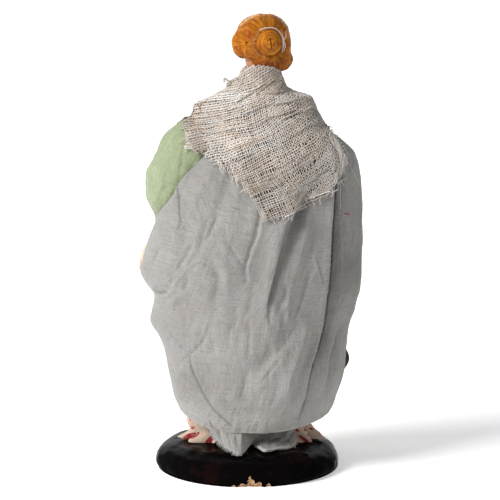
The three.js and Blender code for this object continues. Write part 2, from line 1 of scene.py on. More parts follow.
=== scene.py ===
# A dressed nativity figure of a standing woman, 150 mm tall: cloth mantle, gauze shawl, dress, skirt and apron
# over a stuffed body, with painted terracotta head, hands and base. Shapes are worked out in millimetres in the
# row frame (+Z up, her back at +Y, her left hand at +X) and handed to Blender in metres.
import json
import math

import bpy
import numpy as np
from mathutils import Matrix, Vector
from mathutils.bvhtree import BVHTree

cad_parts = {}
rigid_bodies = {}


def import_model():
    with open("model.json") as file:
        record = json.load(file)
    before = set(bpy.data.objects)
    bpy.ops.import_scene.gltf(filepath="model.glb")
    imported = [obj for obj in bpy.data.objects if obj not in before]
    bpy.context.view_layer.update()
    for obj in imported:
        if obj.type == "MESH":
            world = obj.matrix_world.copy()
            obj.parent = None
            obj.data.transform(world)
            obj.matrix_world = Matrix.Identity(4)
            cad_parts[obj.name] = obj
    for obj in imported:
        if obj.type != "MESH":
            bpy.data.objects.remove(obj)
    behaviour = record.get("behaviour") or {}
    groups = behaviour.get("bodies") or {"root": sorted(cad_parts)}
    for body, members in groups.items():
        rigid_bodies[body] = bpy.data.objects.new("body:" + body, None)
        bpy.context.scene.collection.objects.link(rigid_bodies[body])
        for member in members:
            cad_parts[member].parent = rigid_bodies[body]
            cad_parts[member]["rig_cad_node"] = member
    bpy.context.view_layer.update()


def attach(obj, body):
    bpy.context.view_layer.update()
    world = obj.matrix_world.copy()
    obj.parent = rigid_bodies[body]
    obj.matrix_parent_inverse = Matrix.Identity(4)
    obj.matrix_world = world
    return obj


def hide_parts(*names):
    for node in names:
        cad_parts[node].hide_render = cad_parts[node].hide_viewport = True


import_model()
MM = 0.001
RNG = np.random.default_rng(7)

# ------------------------------------------------------------------ numbers


def table(rows, x, c=1):
    """Smooth value between the rows of a table."""
    t = np.asarray(rows, float)
    xs, ys = t[:, 0], t[:, c]
    x = np.asarray(x, float)
    m = np.zeros(len(xs))
    m[1:-1] = (ys[2:] - ys[:-2]) / (xs[2:] - xs[:-2])
    m[0] = (ys[1] - ys[0]) / (xs[1] - xs[0])
    m[-1] = (ys[-1] - ys[-2]) / (xs[-1] - xs[-2])
    i = np.clip(np.searchsorted(xs, x) - 1, 0, len(xs) - 2)
    h = xs[i + 1] - xs[i]
    u = np.clip((x - xs[i]) / h, 0, 1)
    u2, u3 = u * u, u * u * u
    return (
        (2 * u3 - 3 * u2 + 1) * ys[i]
        + (u3 - 2 * u2 + u) * h * m[i]
        + (3 * u2 - 2 * u3) * ys[i + 1]
        + (u3 - u2) * h * m[i + 1]
    )


def step(a, b, x):
    t = np.clip((np.asarray(x, float) - a) / (b - a), 0, 1)
    return t * t * (3 - 2 * t)


def lerp(a, b, t):
    return a + (b - a) * t


def hashed(ix, iy, iz, seed):
    with np.errstate(over="ignore"):
        n = (
            ix.astype(np.uint64) * np.uint64(374761393)
            + iy.astype(np.uint64) * np.uint64(668265263)
            + iz.astype(np.uint64) * np.uint64(2246822519)
            + np.uint64(seed) * np.uint64(3266489917)
        ) & np.uint64(0xFFFFFFFF)
        n = ((n ^ (n >> np.uint64(15))) * np.uint64(2246822519)) & np.uint64(0xFFFFFFFF)
        n = ((n ^ (n >> np.uint64(13))) * np.uint64(3266489917)) & np.uint64(0xFFFFFFFF)
        n = n ^ (n >> np.uint64(16))
    return (n & np.uint64(0xFFFFFF)).astype(float) / 0x7FFFFF - 1


def noise(x, y, z=0.0, seed=0):
    """Smooth value noise from -1 to 1 on a unit grid."""
    x, y, z = np.broadcast_arrays(np.asarray(x, float), np.asarray(y, float), np.asarray(z, float))
    ix, iy, iz = np.floor(x).astype(np.int64), np.floor(y).astype(np.int64), np.floor(z).astype(np.int64)
    fx, fy, fz = x - ix, y - iy, z - iz
    fx, fy, fz = [f * f * f * (f * (f * 6 - 15) + 10) for f in (fx, fy, fz)]
    out = 0.0
    for dx in (0, 1):
        for dy in (0, 1):
            for dz in (0, 1):
                w = (fx if dx else 1 - fx) * (fy if dy else 1 - fy) * (fz if dz else 1 - fz)
                out = out + w * hashed(ix + dx + 4096, iy + dy + 4096, iz + dz + 4096, seed)
    return out


def fbm(x, y, z=0.0, octaves=4, seed=0, gain=0.5):
    s, a = 0.0, 1.0
    for k in range(octaves):
        f = 2.0**k
        s = s + a * noise(x * f, y * f, z * f, seed + 17 * k)
        a *= gain
    return s


def smooth_line(pts, n=40):
    """Evenly stepped points along a smooth line through pts."""
    p = np.asarray(pts, float)
    if len(p) == 2:
        t = np.linspace(0, 1, n)[:, None]
        return p[0] * (1 - t) + p[1] * t
    ext = np.vstack([2 * p[0] - p[1], p, 2 * p[-1] - p[-2]])
    out = []
    per = max(4, n // (len(p) - 1))
    for i in range(len(p) - 1):
        a, b, c, d = ext[i], ext[i + 1], ext[i + 2], ext[i + 3]
        t = np.linspace(0, 1, per, endpoint=False)[:, None]
        out.append(
            0.5 * ((2 * b) + (c - a) * t + (2 * a - 5 * b + 4 * c - d) * t**2 + (3 * b - a - 3 * c + d) * t**3)
        )
    out.append(p[-1:])
    return np.vstack(out)


def to_line(x, z, line):
    """Distance to a line of points, which side (+ is the line's left, seen from behind and walking down it), share along it."""
    best = np.full(x.shape, 1e9)
    side = np.zeros(x.shape)
    at = np.zeros(x.shape)
    n = len(line) - 1
    for i in range(n):
        ax, az = line[i]
        bx, bz = line[i + 1]
        dx, dz = bx - ax, bz - az
        ll = dx * dx + dz * dz + 1e-12
        t = np.clip(((x - ax) * dx + (z - az) * dz) / ll, 0, 1)
        rx, rz = x - ax - t * dx, z - az - t * dz
        d = np.hypot(rx, rz)
        m = d < best
        best = np.where(m, d, best)
        side = np.where(m, dx * rz - dz * rx, side)
        at = np.where(m, (i + t) / n, at)
    return best, np.sign(side), at


def relief(x, z, rows):
    """Height of folds. A row: (height on the +X side, width there, height on the -X side, width there, edge softness, fade in, fade out, points from the top down)."""
    h = np.zeros(x.shape)
    for al, wl, ar, wr, soft, f0, f1, pts in rows:
        line = smooth_line(pts)
        reach = 3.2 * max(wl, wr)
        lo, hi = line.min(0) - reach, line.max(0) + reach
        m = (x > lo[0]) & (x < hi[0]) & (z > lo[1]) & (z < hi[1])
        if not m.any():
            continue
        d, s, t = to_line(x[m], z[m], line)
        sd = d * s
        k = step(-soft, soft, sd)
        a = np.exp(-((d / wl) ** 2)) * al * k + np.exp(-((d / wr) ** 2)) * ar * (1 - k)
        fade = step(0, max(f0, 1e-3), t) * step(0, max(f1, 1e-3), 1 - t)
        if f0 == 0:
            fade = step(0, max(f1, 1e-3), 1 - t) if f1 else np.ones_like(t)
        elif f1 == 0:
            fade = step(0, f0, t)
        h[m] += a * fade
    return h


# ------------------------------------------------------------------ meshes


def grid_faces(nu, nv, wrap=False, start=0):
    """Quads of a grid of nu by nv points, index i * nv + j."""
    iu = np.arange(nu if wrap else nu - 1)
    jv = np.arange(nv - 1)
    i, j = np.meshgrid(iu, jv, indexing="ij")
    i2 = (i + 1) % nu
    return np.stack([i * nv + j, i2 * nv + j, i2 * nv + j + 1, i * nv + j + 1], -1).reshape(-1, 4) + start


def make(name, verts, faces, material, tint=None, uv=None, smooth=True):
    """A mesh object from points in millimetres and faces given as one array, or a list of arrays, of equal corners."""
    if isinstance(faces, np.ndarray):
        faces = [faces]
    faces = [np.asarray(f, np.int64) for f in faces if len(f)]
    verts = np.asarray(verts, float).reshape(-1, 3)
    me = bpy.data.meshes.new(name)
    me.vertices.add(len(verts))
    me.vertices.foreach_set("co", (verts * MM).astype(np.float32).ravel())
    loops = np.concatenate([f.ravel() for f in faces])
    sizes = np.concatenate([np.full(len(f), f.shape[1]) for f in faces])
    me.loops.add(len(loops))
    me.loops.foreach_set("vertex_index", loops.astype(np.int32))
    me.polygons.add(len(sizes))
    starts = np.concatenate([[0], np.cumsum(sizes)[:-1]])
    me.polygons.foreach_set("loop_start", starts.astype(np.int32))
    me.polygons.foreach_set("use_smooth", np.full(len(sizes), smooth))
    me.update(calc_edges=True)
    me.validate()
    if tint is not None:
        t = np.ones((len(verts), 4), np.float32)
        t[:, :3] = tint
        a = me.color_attributes.new(name="tint", type="FLOAT_COLOR", domain="POINT")
        a.data.foreach_set("color", t.ravel())
    if uv is not None:
        layer = me.uv_layers.new(name="cloth")
        layer.data.foreach_set("uv", np.asarray(uv, np.float32)[loops].ravel())
    ob = bpy.data.objects.new(name, me)
    bpy.context.scene.collection.objects.link(ob)
    if material:
        me.materials.append(material)
    return ob


def normals_of(P):
    """Unit normals of a grid of points P[i, j]."""
    du = np.gradient(P, axis=0)
    dv = np.gradient(P, axis=1)
    n = np.cross(du, dv)
    return n / np.maximum(np.linalg.norm(n, axis=-1, keepdims=True), 1e-9)


def tubes(paths, radii, sides=4, flat=None, ups=None):
    """Verts and quads for many tubes. paths: list of (n, 3); radii: list of (n,) ; flat: thickness share towards ups."""
    V, F, start = [], [], 0
    ang = 2 * np.pi * (np.arange(sides) + 0.5) / sides
    ca, sa = np.cos(ang), np.sin(ang)
    for k, (p, r) in enumerate(zip(paths, radii)):
        n = len(p)
        if n < 2:
            continue
        t = np.gradient(p, axis=0)
        t /= np.maximum(np.linalg.norm(t, axis=1, keepdims=True), 1e-9)
        up = ups[k] if ups is not None else np.tile([0.31, 0.2, 0.93], (n, 1))
        a = np.cross(t, up)
        a /= np.maximum(np.linalg.norm(a, axis=1, keepdims=True), 1e-9)
        b = np.cross(a, t)
        f = 1.0 if flat is None else flat
        ring = p[:, None] + r[:, None, None] * (a[:, None] * ca[None, :, None] + f * b[:, None] * sa[None, :, None])
        V.append(ring.reshape(-1, 3))
        i = np.arange(n - 1)[:, None] * sides
        j = np.arange(sides)[None]
        j2 = (j + 1) % sides
        F.append((np.stack([i + j, i + j2, i + sides + j2, i + sides + j], -1).reshape(-1, 4)) + start)
        start += n * sides
    return np.vstack(V), np.vstack(F)


def surface_nets(field, origin, h):
    """Closed mesh of the zero level of a 3-D array (negative inside), as points and quads."""
    f = field
    inside = f < 0
    nx, ny, nz = f.shape
    c = [inside[dx : nx - 1 + dx, dy : ny - 1 + dy, dz : nz - 1 + dz] for dx in (0, 1) for dy in (0, 1) for dz in (0, 1)]
    total = sum(a.astype(np.int8) for a in c)
    cells = (total > 0) & (total < 8)
    idx = -np.ones(cells.shape, np.int64)
    ci = np.argwhere(cells)
    idx[cells] = np.arange(len(ci))
    acc = np.zeros((len(ci), 3))
    cnt = np.zeros(len(ci))
    corner = [(dx, dy, dz) for dx in (0, 1) for dy in (0, 1) for dz in (0, 1)]
    for a in range(8):
        for b in range(a + 1, 8):
            pa, pb = np.array(corner[a]), np.array(corner[b])
            if np.abs(pa - pb).sum() != 1:
                continue
            va = f[ci[:, 0] + pa[0], ci[:, 1] + pa[1], ci[:, 2] + pa[2]]
            vb = f[ci[:, 0] + pb[0], ci[:, 1] + pb[1], ci[:, 2] + pb[2]]
            m = (va < 0) != (vb < 0)
            t = np.where(m, va / np.where(m, va - vb, 1), 0)[:, None]
            acc += np.where(m[:, None], pa + (pb - pa) * t, 0)
            cnt += m
    pts = origin + h * (ci + acc / cnt[:, None])
    quads = []
    for ax in range(3):
        s0 = [slice(None)] * 3
        s1 = [slice(None)] * 3
        s0[ax] = slice(0, -1)
        s1[ax] = slice(1, None)
        a, b = inside[tuple(s0)], inside[tuple(s1)]
        e = np.argwhere(a != b)
        o = [k for k in range(3) if k != ax]
        e = e[(e[:, o[0]] > 0) & (e[:, o[1]] > 0)]
        e = e[(e[:, o[0]] < f.shape[o[0]] - 1) & (e[:, o[1]] < f.shape[o[1]] - 1)]
        q = []
        for d0, d1 in ((0, 0), (-1, 0), (-1, -1), (0, -1)):
            k = e.copy()
            k[:, o[0]] += d0
            k[:, o[1]] += d1
            q.append(idx[k[:, 0], k[:, 1], k[:, 2]])
        q = np.stack(q, 1)
        turn = inside[e[:, 0], e[:, 1], e[:, 2]]
        if ax == 1:
            turn = ~turn
        q[turn] = q[turn][:, ::-1]
        quads.append(q)
    return pts, np.vstack(quads)


def tree_of(*objs):
    """One search tree, in millimetres, over the meshes of some objects."""
    V, F, n = [], [], 0
    for o in objs:
        me = o.data
        co = np.empty(len(me.vertices) * 3, np.float32)
        me.vertices.foreach_get("co", co)
        V.append(co.reshape(-1, 3) / MM)
        F += [[v + n for v in p.vertices] for p in me.polygons]
        n += len(me.vertices)
    return BVHTree.FromPolygons([Vector(v) for v in np.vstack(V)], F)


def reach(tree, cx, cy, z, ang, far=80.0):
    """How far the bodies in a tree reach from (cx, cy) at height z in direction ang; 0 where there is nothing."""
    out = np.zeros(len(z))
    for k in range(len(z)):
        c, s = math.cos(ang[k]), math.sin(ang[k])
        hit = tree.ray_cast(Vector((cx[k] + far * c, cy + far * s, z[k])), Vector((-c, -s, 0)), far)
        if hit[0] is not None:
            out[k] = far - hit[3]
    return out


def soften(a, times=1, wrap=False):
    """A small blur of a 2-D array, edges kept."""
    for _ in range(times):
        for ax in (0, 1):
            p = np.pad(a, [(1, 1) if k == ax else (0, 0) for k in (0, 1)], mode="edge")
            n = a.shape[ax]
            a = 0.25 * np.take(p, range(0, n), ax) + 0.5 * np.take(p, range(1, n + 1), ax) + 0.25 * np.take(p, range(2, n + 2), ax)
    return a


def highest(a, times=1):
    """Each value becomes the largest of its neighbours."""
    for _ in range(times):
        for ax in (0, 1):
            p = np.pad(a, [(1, 1) if k == ax else (0, 0) for k in (0, 1)], mode="edge")
            n = a.shape[ax]
            a = np.maximum(np.maximum(np.take(p, range(0, n), ax), np.take(p, range(1, n + 1), ax)), np.take(p, range(2, n + 2), ax))
    return a


def sample(A, u, v):
    """Value of the 2-D array A at fractional indices u, v."""
    u = np.clip(u, 0, A.shape[0] - 1.001)
    v = np.clip(v, 0, A.shape[1] - 1.001)
    i, j = u.astype(int), v.astype(int)
    a, b = u - i, v - j
    return (A[i, j] * (1 - a) + A[i + 1, j] * a) * (1 - b) + (A[i, j + 1] * (1 - a) + A[i + 1, j + 1] * a) * b


# ------------------------------------------------------------------ materials


class Nodes:
    """A small wrapper that makes and wires shader nodes."""

    def __init__(self, name):
        self.mat = bpy.data.materials.new(name)
        self.mat.use_nodes = True
        self.nt = self.mat.node_tree
        self.nt.nodes.clear()
        self.out = self.nt.nodes.new("ShaderNodeOutputMaterial")
        self.bsdf = self.nt.nodes.new("ShaderNodeBsdfPrincipled")
        self.nt.links.new(self.bsdf.outputs[0], self.out.inputs[0])

    def new(self, kind, **props):
        n = self.nt.nodes.new(kind)
        for k, v in props.items():
            if k in n.bl_rna.properties:
                setattr(n, k, v)
        return n

    def link(self, a, b):
        self.nt.links.new(a, b)
        return a

    def put(self, sock, value):
        if hasattr(value, "bl_rna"):
            self.link(value, sock)
        else:
            sock.default_value = value

    def coords(self, kind="Object"):
        return self.new("ShaderNodeTexCoord").outputs[kind]

    def scaled(self, vec, scale, rot=(0, 0, 0), loc=(0, 0, 0)):
        n = self.new("ShaderNodeMapping")
        self.link(vec, n.inputs["Vector"])
        n.inputs["Scale"].default_value = scale
        n.inputs["Rotation"].default_value = rot
        n.inputs["Location"].default_value = loc
        return n.outputs[0]

    def noise(self, vec, scale, detail=4, rough=0.5, distort=0.0):
        n = self.new("ShaderNodeTexNoise")
        self.link(vec, n.inputs["Vector"])
        n.inputs["Scale"].default_value = scale
        n.inputs["Detail"].default_value = detail
        n.inputs["Roughness"].default_value = rough
        n.inputs["Distortion"].default_value = distort
        return n.outputs["Fac"]

    def voronoi(self, vec, scale, out="Distance", feature="F1"):
        n = self.new("ShaderNodeTexVoronoi", feature=feature)
        self.link(vec, n.inputs["Vector"])
        n.inputs["Scale"].default_value = scale
        return n.outputs[out]

    def ramp(self, fac, stops, interp="LINEAR"):
        n = self.new("ShaderNodeValToRGB")
        self.link(fac, n.inputs[0])
        n.color_ramp.interpolation = interp
        e = n.color_ramp.elements
        while len(e) < len(stops):
            e.new(0.5)
        for k, (pos, col) in enumerate(stops):
            e[k].position = pos
            c = (col, col, col) if isinstance(col, (int, float)) else col
            e[k].color = (*c[:3], 1)
        return n.outputs[0]

    def math(self, op, a, b=0.0, c=0.0, clamp=False):
        n = self.new("ShaderNodeMath", operation=op, use_clamp=clamp)
        for k, v in enumerate((a, b, c)):
            self.put(n.inputs[k], v)
        return n.outputs[0]

    def mix(self, fac, a, b, blend="MIX"):
        n = self.new("ShaderNodeMix", data_type="RGBA", blend_type=blend)
        self.put(n.inputs[0], fac)
        for sock, v in ((n.inputs[6], a), (n.inputs[7], b)):
            if hasattr(v, "bl_rna"):
                self.link(v, sock)
            else:
                sock.default_value = (*v[:3], 1)
        return n.outputs[2]

    def tint(self):
        n = self.new("ShaderNodeAttribute", attribute_name="tint")
        return n.outputs["Color"]

    def bump(self, height, dist, strength=1.0, normal=None):
        n = self.new("ShaderNodeBump")
        n.inputs["Strength"].default_value = strength
        n.inputs["Distance"].default_value = dist
        self.link(height, n.inputs["Height"])
        if normal is not None:
            self.link(normal, n.inputs["Normal"])
        return n.outputs[0]

    def done(self, colour, rough, normal=None, **sockets):
        self.put(self.bsdf.inputs["Base Color"], colour)
        self.put(self.bsdf.inputs["Roughness"], rough)
        if normal is not None:
            self.link(normal, self.bsdf.inputs["Normal"])
        for k, v in sockets.items():
            self.put(self.bsdf.inputs[k.replace("_", " ")], v)
        return self.mat


def weave(n, per_mm, uv, slub=0.5):
    """Height of a plain weave from the cloth's own coordinates (UV in mm), with uneven threads. 0 to 1."""
    fine = n.scaled(uv, (per_mm, per_mm * 0.06, 1))
    fine2 = n.scaled(uv, (per_mm * 0.06, per_mm, 1), loc=(3.1, 5.7, 0))
    a = n.noise(fine, 1.0, 2, 0.6)
    b = n.noise(fine2, 1.0, 2, 0.6)
    w = n.new("ShaderNodeTexWave", wave_type="BANDS", bands_direction="X")
    n.link(uv, w.inputs["Vector"])
    w.inputs["Scale"].default_value = per_mm * 0.31
    w.inputs["Distortion"].default_value = 0.6
    w.inputs["Detail"].default_value = 1.0
    w2 = n.new("ShaderNodeTexWave", wave_type="BANDS", bands_direction="Y")
    n.link(uv, w2.inputs["Vector"])
    w2.inputs["Scale"].default_value = per_mm * 0.31
    w2.inputs["Distortion"].default_value = 0.6
    w2.inputs["Detail"].default_value = 1.0
    grid = n.math("MULTIPLY", w.outputs["Fac"], w2.outputs["Fac"])
    threads = n.math("ADD", a, b)
    return n.math("ADD", n.math("MULTIPLY", grid, 1 - slub), n.math("MULTIPLY", threads, slub)), threads


def cloth_material(name, base, dark, light, stain=None, per_mm=2.6, bump=0.00012, rough=0.92, use_tint=False, stain_amount=0.25, grain=0.09, uneven=0.5):
    n = Nodes(name)
    uv = n.new("ShaderNodeUVMap", uv_map="cloth").outputs[0]
    obj = n.coords()
    height, threads = weave(n, per_mm, uv, uneven)
    mottled = n.noise(obj, 90.0, 5, 0.55)
    col = n.mix(n.ramp(threads, [(0.62, 0), (1.35, 1)]), dark, light)
    col = n.mix(n.math("MULTIPLY", n.ramp(mottled, [(0.35, 1), (0.65, 0)]), 0.5), col, base)
    if stain is not None:
        s = n.noise(n.scaled(obj, (1, 1, 0.7)), 160.0, 3, 0.5, 0.6)
        col = n.mix(n.math("MULTIPLY", n.ramp(s, [(0.56, 0), (0.72, 1)]), stain_amount), col, stain)
    # slubs along both thread directions and a felted mottle
    slub_a = n.noise(n.scaled(uv, (1.25, 0.14, 1), loc=(5.2, 1.3, 0)), 1.0, 3, 0.6)
    slub_b = n.noise(n.scaled(uv, (0.14, 1.25, 1), loc=(2.4, 8.1, 0)), 1.0, 3, 0.6)
    slub = n.math("MULTIPLY", n.math("ADD", slub_a, slub_b), 0.5)
    col = n.mix(1.0, col, n.ramp(slub, [(0.34, 1.0 - grain), (0.66, 1.0 + grain)]), "MULTIPLY")
    felt = n.noise(uv, 1.35, 3, 0.65)
    col = n.mix(1.0, col, n.ramp(felt, [(0.30, 1.0 - grain), (0.70, 1.0 + grain)]), "MULTIPLY")
    if use_tint:
        col = n.mix(1.0, col, n.tint(), "MULTIPLY")
    nor = n.bump(height, bump, 0.8)
    nor = n.bump(n.math("ADD", slub, n.math("MULTIPLY", felt, 0.5)), bump * 1.6, 0.7, nor)
    return n.done(col, rough, nor, Sheen_Weight=0.25, Sheen_Roughness=0.6, Specular_IOR_Level=0.15)


M = {}
M["mantle"] = cloth_material(
    "grey_linen", (0.236, 0.228, 0.216), (0.175, 0.168, 0.158), (0.295, 0.286, 0.272), stain=(0.28, 0.215, 0.17), per_mm=2.3, bump=0.0002, use_tint=True, uneven=0.88
)
M["green"] = cloth_material(
    "sage_cotton", (0.236, 0.276, 0.158), (0.19, 0.232, 0.118), (0.28, 0.32, 0.198), stain=(0.215, 0.26, 0.14), per_mm=2.8, use_tint=True
)
M["olive"] = cloth_material(
    "olive_cotton", (0.048, 0.056, 0.018), (0.032, 0.039, 0.012), (0.078, 0.088, 0.032), per_mm=2.8, use_tint=True
)


def thread_material():
    n = Nodes("gauze_threads")
    obj = n.coords()
    fuzz = n.noise(obj, 2600.0, 2, 0.6)
    big = n.noise(obj, 140.0, 3, 0.5)
    col = n.mix(n.ramp(fuzz, [(0.3, 0.72), (0.7, 1.0)]), (0, 0, 0), n.tint())
    col = n.mix(n.math("MULTIPLY", n.ramp(big, [(0.5, 0), (0.7, 1)]), 0.25), col, (0.66, 0.50, 0.38))
    nor = n.bump(fuzz, 0.00008, 0.6)
    return n.done(col, 0.9, nor, Sheen_Weight=0.3, Sheen_Roughness=0.5, Specular_IOR_Level=0.15)


def under_material():
    n = Nodes("gauze_layer")
    uv = n.new("ShaderNodeUVMap", uv_map="cloth").outputs[0]
    height, threads = weave(n, 1.3, uv, 0.6)
    # dark brown-grey: painted shade that shows through the gaps between the shawl's threads
    col = n.mix(n.ramp(threads, [(0.7, 0), (1.3, 1)]), (0.065, 0.058, 0.05), (0.20, 0.18, 0.155))
    col = n.mix(1.0, col, n.tint(), "MULTIPLY")
    return n.done(col, 0.95, n.bump(height, 0.0003, 0.8), Specular_IOR_Level=0.1)


def print_material():
    """Cream cotton with rows of dark red dots and stripes; UV runs round the skirt and down it, in mm."""
    n = Nodes("printed_cotton")
    uv = n.new("ShaderNodeUVMap", uv_map="cloth").outputs[0]
    height, threads = weave(n, 2.6, uv)
    cream = n.mix(n.ramp(threads, [(0.62, 0), (1.35, 1)]), (0.37, 0.275, 0.205), (0.52, 0.40, 0.31))
    xyz = n.new("ShaderNodeSeparateXYZ")
    n.link(uv, xyz.inputs[0])
    x, y = xyz.outputs[0], xyz.outputs[1]
    wob = n.math("MULTIPLY", n.math("SUBTRACT", n.noise(uv, 0.35, 2), 0.5), 0.4)
    x = n.math("ADD", x, wob)
    # every 11 mm: a column of wide bars, pairs of dots and dashes; a row of dots; a column of short bars
    period = n.math("FRACT", n.math("DIVIDE", x, 11.0))

    def gap(at):
        return n.math("MULTIPLY", n.math("SUBTRACT", period, at), 11.0)

    def along(pitch, centre):
        """Distance down the cloth from the nearest motif; the first is at centre above the hem."""
        return n.math("MULTIPLY", n.math("SUBTRACT", n.math("FRACT", n.math("ADD", n.math("DIVIDE", y, pitch), 0.5 - centre / pitch)), 0.5), pitch)

    def spot(dx, dy, rx, ry):
        q = n.math("ADD", n.math("POWER", n.math("ABSOLUTE", n.math("DIVIDE", dx, rx)), 2.6), n.math("POWER", n.math("ABSOLUTE", n.math("DIVIDE", dy, ry)), 2.6))
        return n.math("LESS_THAN", q, 1.0)

    bar = spot(gap(0.30), along(11.5, 1.2), 0.80, 1.7)
    pair = n.math("MAXIMUM", spot(gap(0.235), along(11.5, 4.7), 0.58, 0.60), spot(gap(0.365), along(11.5, 5.0), 0.58, 0.62))
    dash = spot(gap(0.27), along(11.5, 8.4), 0.40, 1.2)
    dots = spot(gap(0.64), along(2.1, 0.6), 0.62, 0.64)
    short = spot(gap(0.86), along(7.0, 2.6), 0.62, 1.5)
    ink = n.math("MAXIMUM", n.math("MAXIMUM", bar, pair), n.math("MAXIMUM", dash, n.math("MAXIMUM", dots, short)))
    wear_and_painted_light = n.ramp(n.noise(uv, 1.7, 4, 0.7), [(0.28, 0.35), (0.5, 1.0)])
    ink = n.math("MULTIPLY", ink, wear_and_painted_light)
    red = n.mix(n.noise(uv, 0.5, 2), (0.20, 0.003, 0.013), (0.31, 0.006, 0.024))
    col = n.mix(ink, cream, red)
    col = n.mix(1.0, col, n.tint(), "MULTIPLY")
    return n.done(col, 0.9, n.bump(height, 0.00012, 0.8), Sheen_Weight=0.2, Sheen_Roughness=0.6, Specular_IOR_Level=0.15)


def paint_material(name, rough=0.38, coat=0.25, bump=0.00006, speck=True, shine=0.3):
    """Brushed paint on terracotta; its colours are the mesh's own."""
    n = Nodes(name)
    obj = n.coords()
    streak = n.noise(n.scaled(obj, (1, 1, 0.35)), 900.0, 4, 0.6)
    blotch = n.noise(obj, 260.0, 4, 0.55)
    col = n.mix(1.0, n.tint(), n.ramp(streak, [(0.3, 0.86), (0.7, 1.12)]), "MULTIPLY")
    col = n.mix(1.0, col, n.ramp(blotch, [(0.3, 0.88), (0.7, 1.08)]), "MULTIPLY")
    if speck:
        s = n.noise(obj, 700.0, 2, 0.4)
        col = n.mix(n.math("MULTIPLY", n.ramp(s, [(0.70, 0), (0.76, 1)]), 0.35), col, (0.82, 0.62, 0.45))
    r = n.ramp(blotch, [(0.3, rough - 0.06), (0.7, rough + 0.10)])
    return n.done(col, r, n.bump(n.math("ADD", streak, blotch), bump, 0.7), Coat_Weight=coat, Coat_Roughness=0.25, Specular_IOR_Level=shine)


def black_material():
    """Black gloss paint, thin at edges where the brown clay tints it; the chip's clay comes from the mesh colour."""
    n = Nodes("black_gloss")
    obj = n.coords()
    lump = n.noise(obj, 210.0, 3, 0.5)
    fine = n.noise(obj, 900.0, 3, 0.6)
    black = n.mix(n.ramp(n.noise(obj, 120.0, 4, 0.6), [(0.55, 0), (0.75, 1)]), (0.0022, 0.0018, 0.002), (0.012, 0.004, 0.003))
    is_clay = n.new("ShaderNodeAttribute", attribute_name="tint").outputs["Fac"]
    clay = n.mix(fine, (0.42, 0.24, 0.13), (0.62, 0.42, 0.26))
    mask = n.ramp(n.math("ADD", is_clay, n.math("MULTIPLY", n.math("SUBTRACT", fine, 0.5), 0.6)), [(0.42, 0), (0.55, 1)])
    col = n.mix(mask, black, clay)
    rough = n.math("ADD", n.ramp(lump, [(0.35, 0.13), (0.7, 0.22)]), n.math("MULTIPLY", mask, 0.6), clamp=True)
    nor = n.bump(lump, 0.0004, 0.5)
    nor = n.bump(fine, 0.00012, 0.5, nor)
    return n.done(col, rough, nor, Specular_IOR_Level=0.025, Coat_Weight=0.0)


M["threads"] = thread_material()
M["under"] = under_material()
M["print"] = print_material()
M["hair"] = paint_material("painted_hair", 0.46, 0.03, 0.0001, speck=False, shine=0.12)
M["skin"] = paint_material("painted_skin", 0.45, 0.04, speck=False, shine=0.2)
M["black"] = black_material()

# ------------------------------------------------------------------ base


